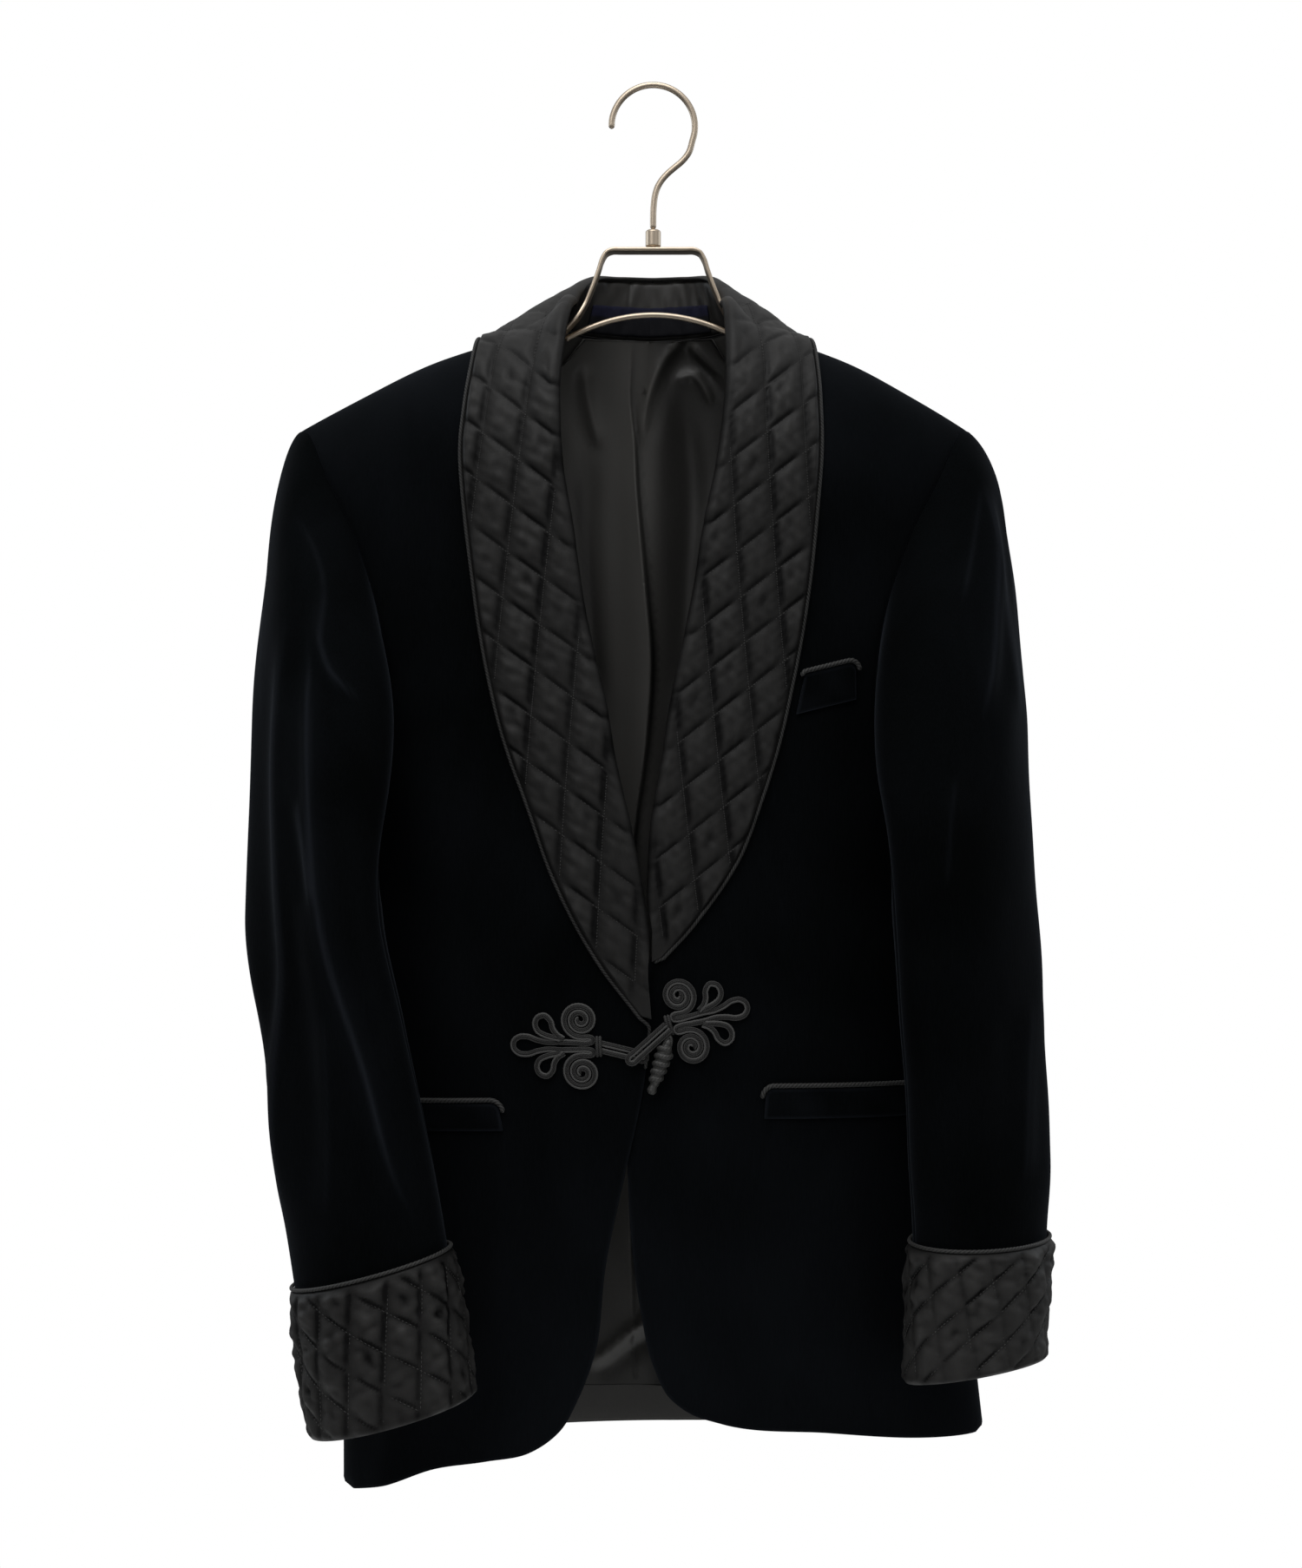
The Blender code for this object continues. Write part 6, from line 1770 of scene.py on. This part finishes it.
        # painted shade under the cord at the top and along the bottom edge, a lift all over, and painted
        # light making the right cuff lighter than the left
        tone = 1.5 * tone * margin - 0.35 * ease(0.004, 0.001, self.cuff_high - q)
        tone -= 0.15 * ease(0.012, 0.0, q)
        tone -= 0.4 * ease(0.002, 0.0, q) - 0.09 - 0.13 * (self.side is Side.RIGHT)
        fall = 0.0012 * close(gap, 0.0026) ** 2
        shell = walled(laid(p, q, QUILT + height - fall), laid(p, q, 0.0), tone)
        for line in quilting.threads(girth, middle):
            line_p, line_q = girth - line[:, 0], line[:, 1]
            good = (line_p > 0.005) & (line_p < girth - 0.005)
            good &= (line_q > 0.005) & (line_q < self.cuff_high - 0.007)
            good = good[:-1] & good[1:]
            if good.any():
                base = laid(line_p, line_q, QUILT + 0.0003)
                ups = laid(line_p, line_q, QUILT + 0.0033) - base
                shell = shell.joined(stitched(base[:-1][good], base[1:][good], ups[:-1][good]))
        name = f"cuff_{self.side.word}"
        made = [add_piece(f"{name}_quilted", shell, (QUILT_SATIN, QUILT_SATIN, SILK_CORD),
                          (name,))]
        ring_p = np.linspace(0, girth, 181)[:-1]
        up = np.full(180, self.cuff_high + SEAM + 0.8 * CORD)
        line = laid(ring_p, up, QUILT / 2)
        ups = unit(laid(ring_p, up, QUILT / 2 + 0.003) - line)
        shell = rope(*dense(line, ups, 0.00062, True), 0.8 * CORD, 0.0028, sides=12, ring=True)
        name = f"cuff_cord_{self.side.word}"
        return made + [add_piece(f"{name}_twist", shell, (SILK_CORD,), (name,))]


@dataclass(frozen=True)
class Pocket:
    """A welt with rounded upper corners lying on a front, and the cord along its top."""

    name: str
    side: Side
    near: float  # distance of its near end from the middle
    far: float
    near_z: float
    far_z: float
    deep: float
    foot: float  # shift of the near end's foot
    near_round: float
    far_round: float = 0.006
    thick: float = 0.0018

    def top(self, grow: float, count: int) -> Array:
        """The upper edge of the welt.

        Args:
            grow: how far it is moved out.
            count: points at each corner.

        Returns:
            Places along and above the upper edge.
        """
        angles = np.linspace(np.pi / 2, 0, count)
        corner = circle(angles) - 1
        ends = [corner[::-1] * (-1, 1) * self.near_round + (self.near, 0),
                corner * self.far_round + (self.far, 0)]
        ends = [e + np.stack([s * np.cos(a), np.sin(a)], 1) * grow
                for e, s, a in zip(ends, (-1, 1), (angles[::-1], angles))]
        line = np.linspace(self.near + self.near_round, self.far - self.far_round, 8 * count)[1:-1]
        return np.concatenate([ends[0], np.stack([line, np.full(len(line), grow)], 1), ends[1]])

    def mapped(self, points: Array) -> Array:
        """Girth and height of places along and above the upper edge."""
        slope = (self.far_z - self.near_z) / (self.far - self.near)
        level = points[:, 1] + self.near_z + slope * (points[:, 0] - self.near)
        return np.stack(FORM.coordinates(points[:, 0], level), 1)

    def build(self) -> list[Piece]:
        """The welt and its cord."""
        place = FORM.on_front(self.side)
        top = self.top(0.0, 9)
        foot = np.stack([np.linspace(self.far, self.near + self.foot, 60), np.full(60, -self.deep)], 1)
        side = np.linspace(0, 1, 12)[1:-1, None]
        outline = np.concatenate([top, top[-1] + (foot[0] - top[-1]) * side, foot,
                                  foot[-1] + (top[0] - foot[-1]) * side])

        def relief(at: Array) -> Pair:
            """Slow waves of the welt."""
            return 0.0003 * ripple(at, 0.04, 7), 0.03 * ripple(at, 0.03, 8)

        # the last number is the painted sheen along the welt's edges
        pattern = Pattern(self.mapped(outline), place, self.thick, 0.003, relief, REST + self.thick, 0.0009,
                          0.003, 0.34)
        made = [add_piece(f"{self.name}_velvet", pattern.shell(), (PILE,), (self.name,))]
        g, h = self.mapped(self.top(2 * SEAM + CORD, 7)).T
        centre = place(g, h, CORD + REST)
        ups = unit(place(g, h, 0.006) - centre)
        shell = rope(*dense(centre, ups, 0.00055), CORD, 0.0026, taper=0.002)
        name = f"{self.name}_cord"
        return made + [add_piece(f"{name}_twist", shell, (SILK_CORD,), (name,))]


@dataclass(frozen=True)
class Frog:
    """A knot of paired cord on one front, its tie bar, and its loop across the opening."""

    side: Side
    bar_x: float
    bar_z: float
    turn: float
    loop_turn: float
    loop_long: float
    loop_lift: float
    wide: float = 0.0038
    # the braid's cords: place across, radius, distance between ribs, depth of the ribs, tone, with a painted
    # highlight on the outer cord and painted shade on the middle one
    cords: Table = ((0.00112, 0.0008, 0.0022, 0.24, 0.48), (-0.00024, 0.00086, 0.0015, 0.42, -0.16),
                    (-0.00138, 0.00052, 0.0015, 0.46, 0.1))
    coil: float = 0.011
    eye: float = 0.0009
    coil_at: tuple[float, float] = (0.0108, 0.0166)
    # along and across: the stem with the end loop, and the small petal beside it
    stem: Table = ((0.015, 0.0023), (0.024, 0.0026), (0.031, 0.0023), (0.038, 0.0036), (0.044, 0.0056),
                   (0.0495, 0.005), (0.0524, 0.0022))
    petal: Table = ((0.021, 0.0044), (0.025, 0.007), (0.0277, 0.011), (0.0288, 0.0156), (0.0326, 0.0192),
                    (0.037, 0.0176), (0.0385, 0.0136), (0.037, 0.0094), (0.0328, 0.0068), (0.028, 0.0054),
                    (0.023, 0.0044))

    @staticmethod
    def arc(cx: float, cy: float, rx: float, ry: float, first: float, last: float, count: int) -> Array:
        """Points of an arc of an ellipse, by its centre, radii and end angles in degrees."""
        angle = np.radians(np.linspace(first, last, count))
        return np.stack([cx + rx * np.cos(angle), cy + ry * np.sin(angle)], 1)

    def knot(self) -> list[Array]:
        """The knot's braids, along and across: coil to coil by the end loop, and two petals."""
        turns = (self.coil - self.eye) / (self.wide + 0.0004)
        angle = np.radians(np.linspace(-90 + 360 * turns, -90, int(15 * turns)))
        radius = np.linspace(self.eye, self.coil, len(angle))[:, None]
        coil = np.array(self.coil_at) + radius * circle(angle)
        low = self.coil_at[1] - self.coil
        bend = (low - 0.0024) / 2
        turn = self.arc(0.0052, low - bend, bend, bend, 90, 270, 6)
        upper = np.concatenate([coil, turn, np.array(self.stem)])
        petal = np.array(self.petal)
        return [np.concatenate([upper, upper[::-1] * (1, -1)]), petal, petal * (1, -1)]

    def loop(self) -> list[Array]:
        """The loop's braid: along from the tie bar, across."""
        gap, long = (self.wide + 0.0008) / 2, self.loop_long
        return [np.concatenate([[(0.0006, gap), (0.01, gap), (long - 0.006, gap)],
                                self.arc(long - gap, 0, gap, gap, 80, -80, 5),
                                [(long - 0.006, -gap), (0.01, -gap), (0.0006, -gap)]])]

    def turned(self, points: Array, degrees: float, sign: int) -> Array:
        """Places on the front of points along and across a turned knot."""
        c, s = np.cos(np.radians(degrees)), np.sin(np.radians(degrees))
        x, y = points[:, 0] * c - points[:, 1] * s, points[:, 0] * s + points[:, 1] * c
        return np.stack([self.bar_x + x * sign, self.bar_z + y], 1)

    def braid(self, points: Array, on: Side, lift: float) -> Shell:
        """Cords side by side along a line on a front.

        Args:
            points: places on the front.
            on: which front carries them.
            lift: height of the braid's underside.

        Returns:
            The shell.
        """
        fine = spaced(points, int(runs(points)[-1] / 0.00048))
        g, h = FORM.coordinates(fine[:, 0] * on.value, fine[:, 1])
        place = FORM.on_front(on)
        line = place(g, h, lift + 0.001)
        ups = unit(place(g, h, lift + 0.004) - line)
        across = unit(np.cross(unit(np.gradient(line, axis=0)), ups))
        made = []
        for off, radius, lay, depth, tone in self.cords:
            made.append(rope(line + across * off, ups, radius, lay, 3, 9, depth, taper=0.001))
            # each cord's painted highlight or shade
            made[-1].tone += tone
        return reduce(Shell.joined, made)

    def build(self) -> list[Piece]:
        """Knot, loop and tie bar."""
        word = self.side.word
        made = []
        for label, lines, degrees, sign, on, lift in (
                ("knot", self.knot(), self.turn, self.side.value, self.side, REST),
                ("loop", self.loop(), self.loop_turn, 1, Side.LEFT, REST + self.loop_lift)):
            name = f"frog_{label}_{word}"
            braids = [self.braid(self.turned(line, degrees, sign), on, lift + 0.0008 * (i > 0))
                      for i, line in enumerate(lines)]
            shell = reduce(Shell.joined, braids)
            made.append(add_piece(f"{name}_braid", shell, (SILK_CORD,), (name,)))
        across = np.linspace(-0.0064, 0.0064, 60)
        bar = self.turned(np.stack([np.zeros(60), across], 1), self.turn, self.side.value)
        g, h = FORM.coordinates(bar[:, 0] * self.side.value, bar[:, 1])
        place = FORM.on_front(self.side)
        arch = 0.0026 * np.sqrt(np.clip(1 - (across / 0.0066) ** 2, 0, 1))
        line = place(g, h, REST + arch)
        ups = unit(place(g, h, REST + arch + 0.003) - line)
        side = unit(np.cross(unit(np.gradient(line, axis=0)), ups))
        pair = [rope(line + side * off, ups, 0.00115, 0.00125, 3, 10, 0.3, taper=0.0012)
                for off in (-0.001, 0.001)]
        name = f"frog_bar_{word}"
        made.append(add_piece(f"{name}_braid", pair[0].joined(pair[1]), (SILK_CORD,), (name,)))
        return made


@dataclass(frozen=True)
class Toggle:
    """The wound spindle of the closure, with its eye and its knotted end."""

    top: tuple[float, float] = (0.0128, -0.6248)
    low: tuple[float, float] = (-0.001, -0.6608)
    # distance along, radius
    profile: Table = (
        (0.0, 0.001), (0.0018, 0.0026), (0.0045, 0.0034), (0.006, 0.005), (0.0092, 0.0058), (0.0155, 0.0056),
        (0.022, 0.005), (0.0275, 0.0043), (0.0305, 0.003), (0.033, 0.0036), (0.0355, 0.0026), (0.036, 0.0008),
    )
    pitch: float = 0.005
    core: float = 0.78  # radius under the winding, as a share

    def build(self) -> list[Piece]:
        """The toggle."""
        place, rows = FORM.on_front(Side.RIGHT), np.array(self.profile)
        ends = np.array([self.top, self.low])
        top, end = place(*FORM.mapped(ends).T, rows[:, 1].max() + REST / 2)
        down = unit(end - top)
        side = unit(np.cross(down, AFT))
        out = np.cross(down, side)
        s = np.linspace(0.0, 0.036, 60)
        size = smooth(rows[:, 0], rows[:, 1], s) * self.core
        core = circle(np.linspace(0, 2 * np.pi, 25)[:-1])[None] * size[:, None, None]
        parts = [swept(top + down * s[:, None], out, core)]
        s = np.linspace(0.0052, 0.031, 460)
        radius = np.maximum(smooth(rows[:, 0], rows[:, 1], s) - 0.0019, 0.001)
        turn = 2 * np.pi * s / self.pitch
        wind = circle(turn) * radius[:, None]
        ways = side * np.cos(turn)[:, None] + out * np.sin(turn)[:, None]
        line = top + down * s[:, None] + side * wind[:, :1] + out * wind[:, 1:]
        parts.append(rope(line, ways, 0.00205, 0.0014, 5, 16, 0.22, taper=0.003))
        for shift, first in ((0.0335, 0.0), (0.0347, 2.1)):
            a = np.linspace(0, 2 * np.pi, 60) + first
            ring = (top + down * (shift + 0.0008 * np.sin(a))[:, None]
                    + (side * np.cos(a)[:, None] + out * np.sin(a)[:, None]) * 0.0016)
            parts.append(rope(ring, unit(ring - top - down * shift), 0.0013, 0.0011, 3, 12))
        a = np.linspace(-0.2, np.pi + 0.2, 60)
        eye = top + down * (0.0045 - 0.006 * np.sin(a))[:, None] + side * (0.0021 * np.cos(a))[:, None]
        parts.append(rope(eye, out, 0.00115, 0.00125, 3, 10, 0.3))
        return [add_piece("toggle_wound", reduce(Shell.joined, parts), (WOUND_SILK,), ("toggle",))]


@dataclass(frozen=True)
class Hanger:
    """Hook, ferrule, flat bracket with its arms under the shoulders, and the lower bar."""

    wire: float = 0.0021
    bow: float = 0.0278
    strap: tuple[float, float] = (0.003, 0.015)
    ferrule: tuple[float, float, float] = (0.0051, -0.0945, -0.1065)
    leg: Table = ((0.0268, -0.1085), (0.031, -0.1102), (0.0338, -0.1145), (0.0362, -0.1218),
                  (0.0408, -0.1345), (0.0455, -0.1452), (0.052, -0.156), (0.058, -0.1625), (0.0655, -0.1695))
    arm_drop: float = 0.0105
    arm_end: float = 0.185
    bar: tuple[float, float, float, float] = (0.0019, -0.1515, 0.016, 0.0508)

    @staticmethod
    def ring(radius: float, sides: int = 24) -> Array:
        """A round section."""
        return circle(np.arange(sides) * 2 * np.pi / sides) * radius

    def rod(self, line: Array, radius: float, name: str, node: str) -> Piece:
        """A round rod with rounded ends along a line.

        Args:
            line: points of its middle.
            radius: its radius.
            name: the piece's name.
            node: the solid that it stands for.

        Returns:
            The piece.
        """
        run = runs(line)
        end = np.clip(np.minimum(run, run[-1] - run) / radius, 0, 1)
        size = np.sqrt(np.maximum(1 - (1 - end) ** 2, 0.04))
        profile = self.ring(radius)[None] * size[:, None, None]
        shell = swept(line, AFT, profile)
        return add_piece(name, shell, (NICKEL,), (node,))

    def hook(self) -> Piece:
        """The wire hook."""
        a = np.radians(np.linspace(183, -20, 17))
        crown = np.stack([self.bow * np.cos(a), np.zeros(17), self.bow * np.sin(a) - self.bow + self.wire], 1)
        tail = np.array([(0.0237, 0, -0.043), (0.0195, 0, -0.0485), (0.0141, 0, -0.0531),
                         (0.0094, 0, -0.0572), (0.0057, 0, -0.0614), (0.0028, 0, -0.0664),
                         (0.0012, 0, -0.0718), (0.0003, 0, -0.079), (0.0, 0, -0.0875),
                         (0.0, 0, self.ferrule[1] + SEAM)])
        line = spaced(np.concatenate([crown, tail]), 240)
        return self.rod(line, self.wire, "hanger_hook_wire", "hanger_hook")

    def collar(self) -> Piece:
        """The ferrule, turned with rounded rims."""
        radius, top, low = self.ferrule
        z = np.linspace(top, low, 60)
        gap = np.minimum(top - z, z - low)
        size = radius - 0.0016 * close(gap, 0.0016) ** 2
        line = np.stack([np.zeros(60), np.zeros(60), z], 1)
        shell = swept(line, AFT, self.ring(1.0, 40)[None] * size[:, None, None])
        return add_piece("hanger_ferrule_turned", shell, (NICKEL,), ("hanger_ferrule",))

    def bracket(self) -> Piece:
        """The bent strap with its two arms."""
        leg, reach = np.array(self.leg), np.linspace(0.08, self.arm_end, 6)
        sides = []
        for side in Side:
            drop = FORM.shoulder_z(reach) - self.arm_drop
            out = np.stack([reach * side.value, np.full(6, FORM.mid_y), drop], 1)
            near = np.stack([leg[:, 0] * side.value, np.zeros(len(leg)), leg[:, 1]], 1)
            near[-3:, 1] = FORM.mid_y
            sides.append(np.concatenate([near, FORM.hang(out)]))
        top = np.stack([np.linspace(-0.0225, 0.0225, 7), np.zeros(7), np.full(7, leg[0, 1])], 1)
        line = np.concatenate([sides[0][::-1], top, sides[1]])
        key = runs(line)
        fine = smooth(key, line, np.linspace(0, key[-1], 240))
        a = np.linspace(0, 2 * np.pi, 25)[:-1]
        power = 2 / 5
        section = np.stack([np.sign(np.cos(a)) * np.abs(np.cos(a)) ** power * self.strap[0] / 2,
                            np.sign(np.sin(a)) * np.abs(np.sin(a)) ** power * self.strap[1] / 2], 1)
        shell = swept(fine, AFT, section)
        return add_piece("hanger_bracket_strap", shell, (NICKEL,), ("hanger_bracket",))

    def build(self) -> list[Piece]:
        """All pieces of the hanger."""
        radius, top, sag, half = self.bar
        x = np.linspace(-half - 0.008, half, 160)
        bar = np.stack([x, np.full(160, -0.001), top - sag * (x / 0.058) ** 2], 1)
        return [self.hook(), self.collar(), self.bracket(),
                self.rod(bar, radius, "hanger_bar_rod", "hanger_bar")]


@dataclass(frozen=True)
class Lamp:
    """A soft rectangular studio lamp."""

    name: str
    at: tuple[float, float, float]
    aim: tuple[float, float, float]
    size: float
    power: float
    tint: Colour = (1.0, 1.0, 1.0)

    def build(self) -> bpy.types.Object:
        """Adds the lamp."""
        data = bpy.data.lights.new(self.name, "AREA")
        data.shape, data.size, data.energy, data.color = "DISK", self.size, self.power, self.tint
        lamp = bpy.data.objects.new(self.name, data)
        way = unit(np.array(self.aim) - np.array(self.at))
        lamp.location = self.at
        lamp.rotation_euler = (np.arccos(-way[2]), 0, np.arctan2(-way[0], way[1]))
        lamp.visible_camera = False
        bpy.context.scene.collection.objects.link(lamp)
        return lamp


@dataclass(frozen=True)
class Studio:
    """Camera, soft light, white surround and a pale floor."""

    camera_at: tuple[float, float, float] = (-0.00145, -1.75, -0.4638)
    lens: float = 72.576
    floor_z: float = -1.42
    floor_half: float = 1.26
    lamps: tuple[Lamp, ...] = (
        Lamp("top_lamp", (-0.1, -0.9, 1.4), (0.0, 0.0, -0.45), 1.5, 20.0),
        Lamp("key_lamp", (-1.0, -1.9, 0.9), (0.0, 0.0, -0.45), 1.2, 9.0),
        Lamp("fill_lamp", (1.5, -1.5, 0.2), (0.0, 0.0, -0.5), 1.6, 3.0),
        Lamp("left_rim_lamp", (-1.7, 0.5, 0.1), (0.0, 0.0, -0.5), 1.2, 8.0, (0.86, 0.93, 1.0)),
        Lamp("right_rim_lamp", (1.7, 0.6, 0.1), (0.0, 0.0, -0.5), 1.2, 6.0, (0.86, 0.93, 1.0)),
    )

    def camera(self) -> None:
        """Adds the camera at the photograph's viewing angle."""
        data = bpy.data.cameras.new("camera")
        data.sensor_fit, data.sensor_width, data.lens = "HORIZONTAL", 36.0, self.lens
        data.clip_start, data.clip_end = 0.05, 50.0
        camera = bpy.data.objects.new("camera", data)
        camera.location, camera.rotation_euler = self.camera_at, (np.pi / 2, 0, 0)
        bpy.context.scene.collection.objects.link(camera)
        bpy.context.scene.camera = camera

    def surround(self) -> None:
        """White surround that lights from above more than from below."""
        world = bpy.data.worlds.new("surround")
        world.use_nodes = True
        bpy.context.scene.world = world
        sketch = Sketch(world.node_tree)
        way = sketch.add("ShaderNodeSeparateXYZ", {0: sketch.add("ShaderNodeTexCoord").outputs["Generated"]})
        height = sketch.add("ShaderNodeMapRange", {0: way.outputs["Z"], 1: -1.0, 2: 1.0})
        curved = sketch.add("ShaderNodeMath", {0: height.outputs[0], 1: 2.2}, operation="POWER")
        seen = sketch.add("ShaderNodeLightPath").outputs["Is Camera Ray"]
        around = sketch.scaled(curved.outputs[0], 0.06, 0.95)
        strength = sketch.add("ShaderNodeMix", {0: seen, 2: around, 3: 1.0})
        light = sketch.add("ShaderNodeBackground", {"Color": (1, 1, 1, 1), "Strength": strength.outputs[0]})
        sketch.add("ShaderNodeOutputWorld", {"Surface": light.outputs[0]})
        bpy.context.scene.view_settings.view_transform = "Standard"

    def floor(self) -> None:
        """A pale plain floor well below the hem."""
        angle = np.linspace(0, 2 * np.pi, 97)[:-1]
        rings = [np.stack([np.cos(angle) * r, np.sin(angle) * r, np.full(96, self.floor_z)], 1)
                 for r in np.linspace(0.02, self.floor_half, 12)]
        mesh = bpy.data.meshes.new("floor")
        faces = grid_quads(12, 96, True).tolist() + [list(range(96))]
        mesh.from_pydata(np.concatenate(rings).tolist(), [], faces)
        finish = Finish("floor_pale", (0.86, 0.86, 0.85), (0.9, 0.9, 0.89))
        sketch, shader, material = finish.begun()
        grain = sketch.add("ShaderNodeTexNoise", {"Scale": 40.0, "Detail": 3.0})
        colour = sketch.blend(grain.outputs[0], finish.deep, finish.pale)
        sketch.tree.links.new(colour, shader.inputs["Base Color"])
        shader.inputs["Roughness"].default_value = 0.8
        mesh.materials.append(material)
        floor = bpy.data.objects.new("floor", mesh)
        bpy.context.scene.collection.objects.link(floor)

    def build(self) -> None:
        """Sets up the studio."""
        self.camera()
        self.surround()
        self.floor()
        for lamp in self.lamps:
            lamp.build()


POCKETS = (
    Pocket("pocket_breast", Side.RIGHT, 0.1088, 0.143, -0.394, -0.3855, 0.024, -0.006, 0.0008),
    Pocket("pocket_hip_right", Side.RIGHT, 0.074, 0.175, -0.6575, -0.659, 0.019, -0.0015, 0.006),
    Pocket("pocket_hip_left", Side.LEFT, 0.0945, 0.17, -0.667, -0.67, 0.0175, -0.0015, 0.006),
)
FROGS = (
    Frog(Side.LEFT, -0.0312, -0.6296, 0.0, -14.0, 0.03, 0.0),
    Frog(Side.RIGHT, 0.013, -0.6165, 13.0, 221.0, 0.0345, 0.003),
)


@dataclass(frozen=True)
class Cut:
    """The flat size of a cloth that hangs, and what it rests on."""

    name: str
    wide: float
    long: float
    area: float
    rests: tuple[str, ...]

    def declare(self) -> None:
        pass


CUTS = (
    Cut("back_velvet", 0.47, 0.765, 0.31, ("hanger_bracket",)),
    Cut("lining_back_satin", 0.4, 0.715, 0.244, ("back",)),
    Cut("front_left_velvet", 0.255, 0.755, 0.139, ("hanger_bracket",)),
    Cut("front_right_velvet", 0.255, 0.72, 0.139, ("hanger_bracket",)),
    Cut("collar_left_quilted", 0.085, 0.66, 0.04, ("front_left",)),
    Cut("collar_right_quilted", 0.085, 0.64, 0.039, ("front_right",)),
    Cut("collar_stand_satin", 0.034, 0.205, 0.0062, ("back",)),
    Cut("neck_band_weave", 0.019, 0.098, 0.0018, ("collar_stand",)),
    Cut("sleeve_top_left_velvet", 0.26, 0.64, 0.115, ("front_left", "back")),
    Cut("sleeve_top_right_velvet", 0.26, 0.64, 0.114, ("front_right", "back")),
    Cut("sleeve_under_left_velvet", 0.13, 0.5, 0.055, ("back",)),
    Cut("sleeve_under_right_velvet", 0.13, 0.5, 0.055, ("back",)),
    Cut("cuff_left_quilted", 0.089, 0.29, 0.0256, ("sleeve_top_left",)),
    Cut("cuff_right_quilted", 0.089, 0.278, 0.0246, ("sleeve_top_right",)),
    Cut("pocket_breast_velvet", 0.026, 0.045, 0.001, ("front_right",)),
    Cut("pocket_hip_left_velvet", 0.0185, 0.082, 0.0015, ("front_left",)),
    Cut("pocket_hip_right_velvet", 0.02, 0.11, 0.0021, ("front_right",)),
)


def main() -> None:
    logging.basicConfig(level=logging.INFO, format="%(name)s %(message)s")
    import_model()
    Studio().build()
    parts = [Hanger(), Torso(), Neck(), *(Collar(side) for side in Side), *(Sleeve(side) for side in Side),
             *POCKETS, *FROGS, Toggle()]
    for part in parts:
        part.build()
    for cut in CUTS:
        cut.declare()


if __name__ == "__main__":
    main()
